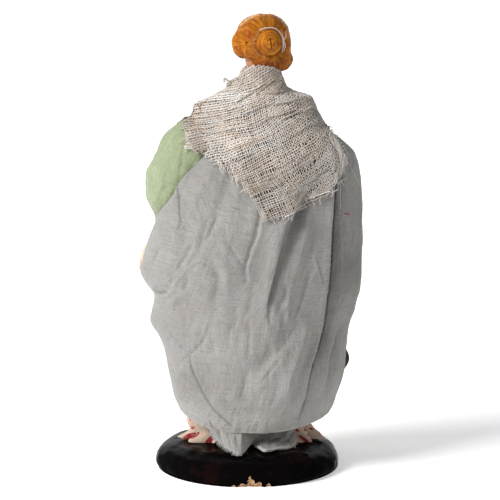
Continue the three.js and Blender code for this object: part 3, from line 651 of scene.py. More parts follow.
def make_base():
    R, foot, H = 30.3, 29.3, 8.5
    nth, chip_x, chip_y = 252, -1.4, 29.6
    prof = [
        (foot - 14, 0),
        (foot - 0.5, 0),
        (foot + 0.35, 0.25),
        (foot + 0.8, 0.9),
        (R + 0.05, 1.9),
        (R, 2.8),
        (R - 0.5, 4.2),
        (R - 1.3, 5.5),
        (R - 2.6, 6.8),
        (R - 4.4, 7.7),
        (R - 6.6, 8.2),
        (R - 10, 8.42),
        (14, 8.45),
        (7, 8.5),
        (0.4, 8.5),
    ]
    line = smooth_line(prof, 112)
    line[:, 1] = np.clip(line[:, 1], 0, None)
    th = np.arange(nth) / nth
    th = 2 * np.pi * th - 0.74 * np.sin(2 * np.pi * (th - 0.25))  # closer together at the chip
    r, z = line[:, 0][None], line[:, 1][None]
    T = th[:, None]
    rim = step(15, 27, r) * step(0.05, 1.2, z)
    lump = 0.45 * np.sin(3 * T + 0.6) + 0.32 * np.sin(5 * T + 2.1 + 0.12 * z) + 0.22 * np.sin(9 * T + 0.4)
    rr = r + rim * (lump * 0.75 + 0.22 * noise(8 * T, z * 0.5, seed=3))
    X, Y = rr * np.cos(T), rr * np.sin(T)
    Z = z + 0 * T
    top = step(7.0, 8.3, Z)
    Z = Z + top * (0.26 * noise(X * 0.16, Y * 0.16, seed=5) + 0.10 * noise(X * 0.45, Y * 0.45, seed=6)) - top * 0.14
    # finger-pressed hollows round the shoulder
    Z = Z - 0.35 * step(4.5, 7.5, Z) * step(20, 27, rr) * (0.5 + 0.5 * np.sin(7 * T + 1.3))
    # the chip in the lower rim behind the figure, and a small nick beside it
    clay = np.zeros_like(X)
    for cx, w, d, h, k in ((chip_x + 0.6, 1.5, 1.2, 3.4, 1.0), (chip_x + 2.8, 1.9, 0.9, 1.5, 1.0), (chip_x - 1.8, 1.6, 0.9, 1.9, 1.0), (chip_x - 5.2, 0.9, 0.6, 1.0, 0.9), (chip_x + 6.0, 0.8, 0.4, 0.7, 0.9)):
        q = 1 - np.abs((X - cx) / w) ** 1.4 - np.abs(Z / h) ** 1.4 + 0.35 * noise(X * 1.6, Z * 1.9, seed=12)
        cut = np.clip(q, 0, 1) ** 0.7 * (Y > 0) * step(24, 27, rr)
        cut = cut * (1 + 0.35 * noise(X * 1.3, Z * 1.3, seed=9))
        Y = Y - d * cut * k
        clay = np.maximum(clay, step(0.02, 0.16, cut))
    Z = np.clip(Z, 0, None)
    P = np.stack([X, Y, Z], -1)
    V = P.reshape(-1, 3)
    F = grid_faces(nth, len(line), wrap=True)
    # close top and bottom with fans
    n = len(V)
    V = np.vstack([V, [[0, 0, 0]], [[0, 0, 8.5 + 0.1]]])
    i = np.arange(nth)
    j = (i + 1) % nth
    m = len(line)
    bottom = np.stack([np.full(nth, n), j * m, i * m], -1)
    cap = np.stack([np.full(nth, n + 1), i * m + m - 1, j * m + m - 1], -1)
    tint = np.zeros((len(V), 3))
    tint[:n] = clay.reshape(-1, 1)
    ob = make("base_disc", V, [F, bottom, cap], M["black"], tint=tint)
    return ob


# ------------------------------------------------------------------ skirt, dress and apron

SKIRT = [
    (9.0, -2.0, 22.0, 9.5, 17.5),
    (11.5, -1.6, 19.6, 9.4, 16.6),
    (15, 0.0, 19.2, 10, 16),
    (24, -1.5, 20, 12.5, 16.5),
    (40, -2, 22.5, 14.5, 16.5),
    (58, -2, 21, 14.5, 15),
    (74, -2, 16, 12, 12),
    (84, -2, 12.4, 9.2, 9.4),
]


PRINT_SHIFT = 0.6


def make_skirt():
    nu, nv = 390, 118
    a = 2 * np.pi * np.arange(nu) / nu
    zz = 8.75 + (84.2 - 8.75) * np.linspace(0, 1, nv) ** 1.15
    A, Z = np.meshgrid(a, zz, indexing="ij")
    cx, w = table(SKIRT, Z, 1), table(SKIRT, Z, 2)
    b = np.where(np.sin(A) > 0, table(SKIRT, Z, 3), table(SKIRT, Z, 4))
    low = 1 - step(9, 62, Z)
    # pleats: sharpened waves that drift as they fall, fading towards the waist gathers
    ph = 13 * A + 1.1 * np.sin(2 * A + 0.5) + 0.020 * (Z - 40) * np.sin(3 * A)
    wave = np.sin(ph) + 0.35 * np.sin(2 * ph + 0.8)
    ph2 = 34 * A + 1.4 * np.sin(5 * A)
    k = 1 + (wave * (0.45 + 1.25 * low) + 0.28 * np.sin(ph2) * step(50, 84, Z)) / 22.0
    k = k + 0.012 * fbm(A * 9, Z * 0.12, seed=21) * (0.4 + low)
    # the hem flares in corners that lie on the base
    flare = (1 - step(8.7, 12.5, Z)) * (0.075 * np.sin(8 * A + 2.2) + 0.05 * np.sin(13 * A + 0.3) + 0.03 * noise(A * 12, 0 * A, seed=4))
    k = k + flare
    X = cx + w * k * np.cos(A)
    Y = b * k * np.sin(A)
    hem = (1 - step(8.7, 11.0, Z)) * 0.55 * noise(A * 10, 0 * A + 3.3, seed=8)
    Zt = Z + np.clip(hem, -0.1, 0.8)
    far = np.clip(-24.2 - X, 0, None) * (1 - step(10, 14, Z))
    X = X + 0.70 * far
    P = np.stack([X, Y, Zt], -1)
    # lengths along the cloth, from a seam at the front
    row = P[:, 10]
    ring = np.concatenate([[0], np.cumsum(np.linalg.norm(np.diff(row, axis=0), axis=-1))])
    seam = int(np.searchsorted(a, 1.5 * np.pi))
    U = np.broadcast_to(np.where(np.arange(nu) >= seam, ring - ring[-1] - 0.4, ring)[:, None] + PRINT_SHIFT, A.shape)
    up = np.concatenate([np.zeros((nu, 1)), np.cumsum(np.linalg.norm(np.diff(P, axis=1), axis=-1), 1)], 1)
    span = 16
    round_up = np.concatenate([up[-span:], up, up[:span]])
    up = np.mean([round_up[k : k + nu] for k in range(0, 2 * span + 1)], axis=0)
    uv = np.stack([U, up], -1).reshape(-1, 2)
    # painted shade: the cloth is 10% darker in the hollows of the pleats
    pleat_shade = 1 - 0.10 * step(0.0, 1.0, -wave)[..., None]
    tint = np.ones((nu, nv, 3)) * pleat_shade
    ob = make("skirt_cloth", P.reshape(-1, 3), grid_faces(nu, nv, wrap=True), M["print"], tint=tint.reshape(-1, 3), uv=uv)
    return ob


TORSO = [
    (83.6, -2, 13.0, 9.5, 9.8),
    (86, -2, 12.5, 9.2, 9.5),
    (92, -1.4, 13.4, 9.4, 10),
    (100, -1.2, 15.4, 9.6, 11.8),
    (107, -2.0, 16.0, 9.2, 11),
    (112.5, -3, 14.6, 8.2, 8.6),
    (116.5, -3.8, 11, 6.8, 7),
    (119.4, -4.4, 7.4, 5.8, 5.9),
    (121, -4.6, 5.8, 5.2, 5.2),
]
LEFT_ARM = [
    (8.5, 0.2, 110.8, 5.2, 6.4),
    (15.4, 0.4, 107.0, 10.4, 9.4),
    (19.4, 0.6, 99.6, 12.0, 10.2),
    (22.4, -0.4, 91.4, 11.7, 9.6),
    (24.4, -2.8, 82.4, 6.8, 6.6),
    (27.6, -6.0, 75.6, 4.2, 4.2),
    (31.0, -8.2, 71.0, 3.1, 3.1),
]
RIGHT_ARM = [
    (-13.5, 0.2, 108.4, 5.0, 6.0),
    (-20.6, 0.4, 104.6, 6.2, 7.0),
    (-25.8, 0.6, 97.4, 6.4, 7.2),
    (-28.0, -0.8, 89.5, 6.2, 7.0),
    (-28.2, -4.6, 80.6, 4.8, 5.4),
    (-26.8, -11.0, 74.6, 4.0, 4.2),
    (-24.4, -16.2, 71.4, 3.3, 3.4),
]


def make_torso():
    nu, nv = 150, 76
    a = 2 * np.pi * np.arange(nu) / nu
    zz = np.linspace(83.6, 121, nv)
    A, Z = np.meshgrid(a, zz, indexing="ij")
    cx, w = table(TORSO, Z, 1), table(TORSO, Z, 2)
    b = np.where(np.sin(A) > 0, table(TORSO, Z, 3), table(TORSO, Z, 4))
    gather = 0.28 * np.sin(26 * A + 1.2 * np.sin(4 * A)) * (1 - step(84, 94, Z))
    k = 1 + (gather + 0.35 * fbm(A * 4, Z * 0.16, seed=31)) / 14
    X, Y = cx + w * k * np.cos(A), b * k * np.sin(A)
    P = np.stack([X, Y, Z], -1)
    uv = np.stack([A * 13.5, Z], -1).reshape(-1, 2)
    V = P.reshape(-1, 3)
    n = len(V)
    V = np.vstack([V, [[-4.6, 0, 121.1]]])
    i = np.arange(nu)
    cap = np.stack([np.full(nu, n), i * nv + nv - 1, ((i + 1) % nu) * nv + nv - 1], -1)
    uv = np.vstack([uv, [[0, 121]]])
    return make("dress_bodice", V, [grid_faces(nu, nv, wrap=True), cap], M["green"], tint=np.ones((len(V), 3)), uv=uv)


def make_sleeve(name, rows, folds, seed, nu=200, nv=226):
    """A puffed sleeve round a bent arm, gathered at the shoulder and the cuff, with its own creases."""
    line = smooth_line([r[:3] for r in rows], 240)
    t = np.linspace(0, 1, nv)
    src = np.linspace(0, 1, len(line))
    C = np.stack([np.interp(t, src, line[:, k]) for k in range(3)], -1)
    D = np.gradient(C, axis=0)
    D /= np.linalg.norm(D, axis=1, keepdims=True)
    S = np.cross([0, 1.0, 0], D)
    S /= np.linalg.norm(S, axis=1, keepdims=True)
    Fo = np.cross(D, S)
    rad = [(i / (len(rows) - 1), r[3], r[4]) for i, r in enumerate(rows)]
    ra, rb = table(rad, t, 1), table(rad, t, 2)
    a = 2 * np.pi * np.arange(nu) / nu
    A, T = np.meshgrid(a, t, indexing="ij")
    gather = 0.32 * np.sin(17 * A + np.sin(3 * A)) * ((1 - step(0, 0.22, T)) + step(0.80, 0.95, T))
    r = 1 + (gather + 0.30 * fbm(A * 2.2 + seed, T * 9, seed=seed) * step(0.0, 0.2, T)) / 8
    r = r * (1 + 0.10 * np.exp(-(((T - 0.955) / 0.012) ** 2)) - 0.05 * np.exp(-(((T - 0.925) / 0.010) ** 2)))
    P = C[None] + S[None] * (ra * np.ones_like(A) * r * np.cos(A))[..., None] + Fo[None] * (rb * r * np.sin(A))[..., None]
    N = P - C[None]
    N /= np.maximum(np.linalg.norm(N, axis=-1, keepdims=True), 1e-6)
    back = step(-0.1, 0.5, N[..., 1])
    P = P + N * (relief(P[..., 0], P[..., 2], folds) * back)[..., None]
    uv = np.stack([A * 8.0, T * 62.0], -1).reshape(-1, 2)
    V = P.reshape(-1, 3)
    n = len(V)
    V = np.vstack([V, C[:1], C[-1:] - D[-1:] * 0.6])
    i = np.arange(nu)
    j = (i + 1) % nu
    c0 = np.stack([np.full(nu, n), j * nv, i * nv], -1)
    c1 = np.stack([np.full(nu, n + 1), i * nv + nv - 1, j * nv + nv - 1], -1)
    uv = np.vstack([uv, [[0, 0], [0, 60]]])
    return make(name, V, [grid_faces(nu, nv, wrap=True), c0, c1], M["green"], tint=np.ones((len(V), 3)), uv=uv)


SLEEVE_FOLDS = [
    # +X height, width, -X height, width, softness, fade in, fade out, points
    (0.30, 2.2, -0.45, 1.6, 1.2, 0.2, 0.3, [(28.5, 110), (30.8, 105), (31.6, 98), (30.8, 91)]),
    (0.15, 2.0, -0.22, 1.2, 0.9, 0.3, 0.2, [(21.0, 111), (21.6, 103), (23.5, 95), (27.5, 88)]),
    (-0.12, 1.2, 0.2, 1.8, 0.9, 0.3, 0.3, [(15.5, 106), (17, 101), (20, 95), (24, 90)]),
    (0.12, 1.6, -0.16, 1.0, 0.6, 0.3, 0.2, [(26, 98), (28.4, 92), (31, 87)]),
    (-0.25, 0.7, -0.2, 0.7, 0.3, 0.2, 0.3, [(24, 113), (26.5, 108), (27.5, 104)]),
]

APRON = [
    (22.5, 15.5, -27.5),
    (27, 16.5, -30.9),
    (32.4, 17, -34.0),
    (36.5, 17, -32.9),
    (39.6, 17, -29.4),
    (43, 16.5, -24.0),
    (52, 15, -19.5),
    (62, 13, -16.0),
    (74, 10, -12.5),
    (82.5, 8, -10.0),
]


def make_apron():
    nu, nv = 136, 150
    u = np.linspace(0, 1, nu)
    z = np.linspace(22.5, 83.2, nv)
    U, Z = np.meshgrid(u, z, indexing="ij")
    x = lerp(table(APRON, Z, 1), table(APRON, Z, 2), U)
    fold = np.sin(17 * U + 0.8 * np.sin(5 * U)) + 0.4 * np.sin(31 * U + 2)
    d = table(SKIRT, Z, 4) + 2.3 + 0.45 * fold * (1 - step(30, 84, Z) * 0.55)
    d = d - 0.5 * step(70, 83, Z)
    y = -d * np.sqrt(np.clip(1 - ((x + 2) / 41) ** 2, 0.02, 1))
    hem = 0.5 * np.sin(17 * U) * (1 - step(22, 30, Z))
    P = np.stack([x, y, Z + hem], -1)
    uv = np.stack([U * 45, Z], -1).reshape(-1, 2)
    # painted shade: the cloth is 25% darker in the hollows of its folds
    tint = np.ones((nu, nv, 3)) * (1 - 0.25 * step(0, 1.2, -fold))[..., None]
    ob = make("apron_cloth", P.reshape(-1, 3), grid_faces(nu, nv), M["olive"], tint=tint.reshape(-1, 3), uv=uv)
    mod = ob.modifiers.new("thick", "SOLIDIFY")
    mod.thickness = 0.35 * MM
    mod.offset = 0
    return ob


# ------------------------------------------------------------------ mantle

OUTLINE = [
    (12.6, 19.2, -19.4),
    (13.6, 20.0, -21.4),
    (16, 21.2, -25.0),
    (20, 22.8, -28.4),
    (24.3, 24.3, -30.0),
    (28.4, 25.3, -31.3),
    (32.5, 26.3, -32.2),
    (36.6, 27.2, -32.4),
    (40.6, 28.2, -32.5),
    (44.7, 30.0, -32.8),
    (48.7, 32.3, -33.7),
    (52.1, 31.9, -35.3),
    (55.5, 31.2, -36.1),
    (58.2, 31.3, -37.0),
    (60.9, 33.3, -37.3),
    (64.9, 35.5, -37.5),
    (70.2, 34.6, -37.5),
    (76, 32.9, -37.9),
    (82.2, 31.2, -37.8),
    (88, 31.4, -37.9),
    (94, 30.8, -37.5),
    (99.4, 28.0, -36.6),
    (104.7, 24.0, -34.5),
    (107.3, 20.5, -32.0),
    (110, 17.0, -28.8),
    (112.5, 14.0, -25.0),
    (115, 11.0, -18.0),
    (118, 6.0, -12.5),
]
BACK = [
    (12.6, 15.8),
    (14, 17.3),
    (16, 18.6),
    (20, 20.0),
    (30, 22.2),
    (40, 23.4),
    (50, 23.6),
    (60, 22.8),
    (70, 21.3),
    (80, 19.3),
    (90, 17.3),
    (100, 15.3),
    (106, 13.6),
    (112, 10.8),
    (118, 7.6),
]
FRONT = [(12.6, 14), (25, 17.5), (40, 19), (66, 20), (80, 19.5), (92, 16), (104, 12), (112, 9), (118, 7)]
LEFT_EDGE = [(13.2, -30), (40, -34), (56, -24), (66, -4), (76, 4), (83, 14)]
RIGHT_EDGE = [(13.2, 204), (30, 206), (45, 213), (58, 225), (68, 230), (80, 227), (96, 220), (108, 208), (118, 196)]
TOP_EDGE = [
    (5, 81.0),
    (10, 82.2),
    (15, 83.9),
    (24, 87.0),
    (32, 90.1),
    (37, 93.2),
    (40.5, 96.2),
    (45, 100.2),
    (51, 104.6),
    (60, 109.6),
    (72, 113.4),
    (86, 116.4),
    (112, 117.6),
    (196, 117.2),
    (204, 112),
]
HEM = [(-34, 19), (0, 19), (15, 18.4), (35, 16.4), (52, 15.1), (75, 14.8), (95, 14.9), (112, 15.2), (125, 15.9), (145, 16.8), (165, 17.6), (185, 18.5), (206, 20)]
SEAM_UP = [(22.3, 95.5), (22.3, 90.4), (22.1, 85.9), (21.6, 82.8), (20.6, 80.0)]
SEAM_LOW = [(19.2, 39.5), (17.9, 35.2), (15.6, 30.3), (13.3, 26.1), (11.1, 22.9), (8.5, 20.4), (5.2, 17.0)]
LAP = [(-27.7, 97.0), (-27.2, 87.6), (-26.8, 79.7), (-26.5, 74.9), (-26.1, 68.5), (-25.7, 63.1), (-25.1, 59.0), (-24.6, 53.8), (-23.9, 49.2), (-23.0, 45.7), (-21.9, 41.9), (-20.6, 38.5), (-19.7, 34.2), (-18.7, 29.5), (-17.5, 24.2), (-15.9, 18.7)]
# height on the +X side, width there, height on the -X side, width there, softness of the edge, fade in, fade out, points
FOLDS = [
    # the crisp ridge that falls from the shawl to the left of the deep hollow
    (1.0, 2.6, -1.1, 1.5, 0.22, 0.0, 0.25, [(-14.7, 89.7), (-13.1, 85.0), (-11.8, 80.6), (-10.5, 75.6), (-9.3, 70.6), (-8.0, 65.6), (-7.0, 61.8), (-6.2, 58.3), (-6.4, 54.1)]),
    # the hollow itself, widest under the shawl
    (-2.9, 2.1, -2.8, 2.5, 1.2, 0.0, 0.75, [(-18.0, 91.2), (-16.5, 86.9), (-14.9, 81.9), (-13.2, 76.9), (-11.7, 71.9), (-10.0, 66.8), (-8.3, 61.8)]),
    (0.40, 1.4, 0.5, 2.0, 0.9, 0.05, 0.5, [(-19.2, 90.2), (-19.2, 84.3), (-18.2, 78.6), (-16.6, 73.0), (-15.3, 67.3), (-14.1, 62.3)]),
    # left edge of that ridge
    (-0.9, 1.2, 0.6, 1.8, 0.25, 0.1, 0.3, [(-4.8, 89.7), (-3.8, 83.5), (-2.9, 79.4), (-1.6, 76.2), (-0.6, 73.1), (0.3, 70.0), (0.0, 66.2), (-1.0, 62.4)]),
    # the lapped edge down the right side: cloth that ends in a sharp step
    (1.0, 2.2, -1.2, 2.6, 0.14, 0.0, 0.1, LAP),
    (-0.35, 1.3, -0.3, 1.2, 0.6, 0.2, 0.3, [(-20.8, 89.2), (-21.8, 83.5), (-21.1, 77.2), (-19.9, 71.6), (-18.6, 65.9)]),
    (-0.55, 0.9, -0.35, 0.9, 0.4, 0.2, 0.3, [(-20.5, 69.0), (-19.2, 64.3), (-17.9, 59.6), (-16.3, 54.8), (-15.1, 50.7)]),
    (0.3, 0.7, 0.0, 0.6, 0.3, 0.2, 0.2, [(-21.1, 74.7), (-22.4, 69.8), (-23.4, 65.6), (-24.4, 61.6)]),
    (-0.5, 0.8, -0.4, 0.8, 0.3, 0.2, 0.3, [(-7.3, 58.0), (-7.0, 54.8), (-7.4, 50.9)]),
    (-0.4, 0.8, -0.4, 0.8, 0.3, 0.2, 0.3, [(-12.8, 64.9), (-12.1, 61.1), (-10.5, 57.9), (-10.2, 54.1)]),
    (0.4, 0.9, 0.4, 0.9, 0.4, 0.2, 0.3, [(-13.4, 61.0), (-12.8, 56.6), (-12.8, 51.4)]),
    # pale piping of the side, and a soft fold beside it
    (0.35, 1.4, -0.2, 1.2, 0.4, 0.1, 0.3, [(-29.8, 98.1), (-29.8, 90.6), (-30.1, 80.9), (-30.7, 71.2), (-30.4, 61.5)]),
    (0.60, 0.6, -0.5, 0.7, 0.20, 0.2, 0.2, [(-31.6, 51.6), (-30.0, 45.5), (-28.6, 39.8), (-27.7, 35.0), (-26.4, 29.1), (-24.8, 24.2)]),
    (-0.3, 0.7, 0.2, 0.7, 0.25, 0.2, 0.2, [(-29.2, 48.1), (-28.3, 43.0), (-26.9, 38.0), (-26.3, 32.6), (-25.4, 27.9)]),
    # from under the shawl towards her left hand
    (-0.7, 2.6, -0.6, 2.0, 1.0, 0.0, 0.4, [(3.8, 100.0), (6.1, 96.2), (8.0, 92.0), (9.3, 87.9), (10.9, 83.4), (12.5, 79.0)]),
    (-0.75, 0.75, -0.5, 0.6, 0.25, 0.35, 0.25, [(8.7, 87.3), (10.3, 84.1), (11.5, 81.5), (12.5, 79.3), (13.5, 77.0)]),
    (-0.65, 0.75, -0.45, 0.6, 0.25, 0.3, 0.3, [(12.2, 85.9), (13.5, 82.3), (14.4, 79.5), (15.2, 76.6), (15.7, 73.5)]),
    (-0.5, 0.9, -0.35, 0.8, 0.3, 0.2, 0.3, [(17.0, 76.5), (18.7, 75.2), (19.9, 72.6), (21.6, 69.9), (23.5, 67.2)]),
    (-0.4, 0.6, -0.3, 0.6, 0.2, 0.2, 0.3, [(8.3, 84.8), (7.4, 81.0), (6.4, 77.9), (5.1, 75.5), (3.5, 73.3), (1.6, 70.6), (0.0, 68.4)]),
    (-0.3, 0.7, -0.3, 0.7, 0.3, 0.2, 0.3, [(15.1, 71.3), (18.0, 69.3), (20.6, 66.6), (22.9, 63.4)]),
    (0.35, 0.8, 0.25, 0.7, 0.3, 0.2, 0.3, [(13.5, 72.7), (16.7, 70.6), (19.6, 68.2), (22.5, 64.8), (24.9, 61.8)]),
    (0.3, 0.8, 0.2, 0.7, 0.3, 0.2, 0.3, [(16.1, 75.6), (18.6, 72.4), (21.6, 68.4), (24.5, 64.3)]),
    (-0.7, 1.2, -0.6, 1.2, 0.6, 0.3, 0.3, [(9.9, 73.4), (10.9, 70.0), (9.3, 66.9), (9.9, 62.7), (10.6, 58.2), (10.6, 53.6)]),
    # thin seam of the cloth
    (-0.22, 0.4, -0.1, 0.4, 0.15, 0.05, 0.1, [(22.3, 95.5), (22.3, 90.4), (22.1, 85.9), (21.6, 82.8), (20.6, 80.0)]),
    (-0.5, 0.8, -0.2, 0.7, 0.2, 0.1, 0.3, [(31.9, 69.2), (30.6, 71.3), (29.2, 74.1), (27.2, 75.9)]),
    # gathers that run in to the left hand
    (-2.0, 0.9, -1.2, 1.0, 0.5, 0.0, 0.55, [(30.8, 59.3), (28.6, 59.9), (26.6, 60.9), (24.6, 62.2)]),
    (-1.0, 1.0, -0.6, 0.9, 0.3, 0.0, 0.4, [(31.2, 57.0), (28.3, 57.6), (25.6, 58.9), (23.2, 61.0), (20.6, 63.0)]),
    (-0.6, 0.8, -0.4, 0.8, 0.3, 0.0, 0.4, [(29.9, 61.6), (27.6, 62.1), (25.2, 63.5), (22.9, 66.0)]),
    (-0.6, 0.8, -0.3, 0.7, 0.25, 0.2, 0.2, [(19.3, 66.7), (19.5, 64.4), (20.0, 61.7)]),
    (0.8, 1.4, 0.6, 1.3, 0.5, 0.1, 0.4, [(30.1, 55.7), (27.0, 56.6), (23.3, 58.6), (19.6, 61.1)]),
    (-0.25, 0.6, -0.15, 0.6, 0.2, 0.2, 0.2, [(22.6, 58.3), (21.0, 55.6), (20.0, 52.2), (20.4, 48.2)]),
    # soft creases of the lower back
    (-0.25, 0.6, -0.15, 0.5, 0.2, 0.1, 0.2, [(26.7, 51.8), (24.7, 47.9), (22.1, 44.0), (19.5, 41.2)]),
    (-0.55, 1.1, -0.2, 0.9, 0.35, 0.15, 0.3, [(12.9, 47.6), (15.5, 43.9), (18.1, 40.7), (20.8, 37.8), (23.3, 33.6)]),
    # the long thin seam
    (-0.45, 0.45, -0.1, 0.45, 0.15, 0.05, 0.05, [(19.2, 39.5), (17.9, 35.2), (15.6, 30.3), (13.3, 26.1), (11.1, 22.9), (8.5, 20.4), (5.2, 17.0)]),
    (-0.8, 2.0, -0.9, 2.0, 1.0, 0.2, 0.3, [(-14.1, 52.7), (-11.5, 47.6), (-8.3, 43.1), (-4.5, 38.3), (-1.3, 34.2)]),
    (-0.45, 0.8, -0.35, 0.8, 0.3, 0.2, 0.3, [(-16.3, 53.8), (-15.1, 49.7), (-12.8, 45.9), (-10.3, 43.1), (-7.1, 39.7)]),
    (-0.3, 0.6, -0.25, 0.6, 0.25, 0.2, 0.3, [(-11.5, 42.1), (-8.7, 38.4), (-5.8, 34.6), (-3.2, 30.5)]),
    (1.1, 2.0, 1.0, 1.6, 0.8, 0.15, 0.3, [(-20.2, 53.6), (-18.6, 48.2), (-17.0, 43.4), (-15.4, 38.6), (-13.8, 33.6), (-12.6, 28.2), (-12.3, 22.8)]),
    (-0.3, 0.6, -0.25, 0.6, 0.25, 0.2, 0.3, [(-0.6, 54.1), (-0.6, 48.6), (-0.3, 40.9)]),
    (-0.45, 1.2, -0.4, 1.2, 0.6, 0.3, 0.3, [(0.0, 38.2), (0.6, 33.4), (1.3, 28.6), (1.6, 24.4)]),
    (-0.25, 0.6, -0.2, 0.6, 0.25, 0.2, 0.3, [(4.8, 52.6), (5.8, 46.7), (6.8, 41.2)]),
    (-0.6, 1.6, -0.4, 1.4, 0.7, 0.3, 0.3, [(9.1, 28.0), (5.5, 24.9), (1.0, 22.0), (-4.5, 20.8)]),
    (-0.5, 0.8, -0.3, 0.8, 0.3, 0.2, 0.2, [(-18.8, 27.0), (-17.2, 22.8), (-15.6, 18.7)]),
    (-0.35, 0.9, -0.3, 0.9, 0.4, 0.2, 0.2, [(3.5, 57.8), (3.8, 54.0), (4.8, 49.4)]),
    (-0.35, 0.9, -0.3, 0.9, 0.4, 0.2, 0.2, [(-1.3, 66.2), (-1.3, 60.5), (0.0, 54.7)]),
    (0.3, 1.0, 0.3, 1.0, 0.5, 0.3, 0.3, [(7.4, 71.7), (6.4, 66.0), (6.7, 59.6)]),
]
APEX = [(12, -2), (20, -7), (30, -11), (38, -11), (46, -8), (55, -6), (64, -6), (72, -7), (80, -9), (88, -11), (98, -8), (108, -4), (118, -3.2)]
# how flat the right side of the back is: 1 is round, 2 a straight slope
SLOPE = [(12, 1.0), (20, 1.12), (32, 1.3), (48, 1.4), (90, 1.4), (102, 1.2), (112, 1.0), (118, 0.95)]


def mantle_point(phi, z):
    l, r = table(OUTLINE, z, 1), table(OUTLINE, z, 2)
    c, s = np.cos(np.radians(phi)), np.sin(np.radians(phi))
    mid = (l + r) / 2
    xc = np.where(s > 0, lerp(mid, table(APEX, z), step(0, 0.5, s)), mid)
    e = np.where((c < 0) & (s > 0), lerp(0.94, table(SLOPE, z), step(0, 0.35, s)), 0.94)
    cx = np.sign(c) * np.abs(c) ** e
    sy = np.sign(s) * np.abs(s) ** e
    a = np.where(c > 0, l - xc, xc - r)
    b = np.where(s > 0, table(BACK, z), table(FRONT, z))
    x, y = xc + a * cx, b * sy
    return x, y


def mantle_normal(phi, z):
    x0, y0 = mantle_point(phi - 0.6, z)
    x1, y1 = mantle_point(phi + 0.6, z)
    nx, ny = y1 - y0, -(x1 - x0)
    n = np.maximum(np.hypot(nx, ny), 1e-6)
    return nx / n, ny / n


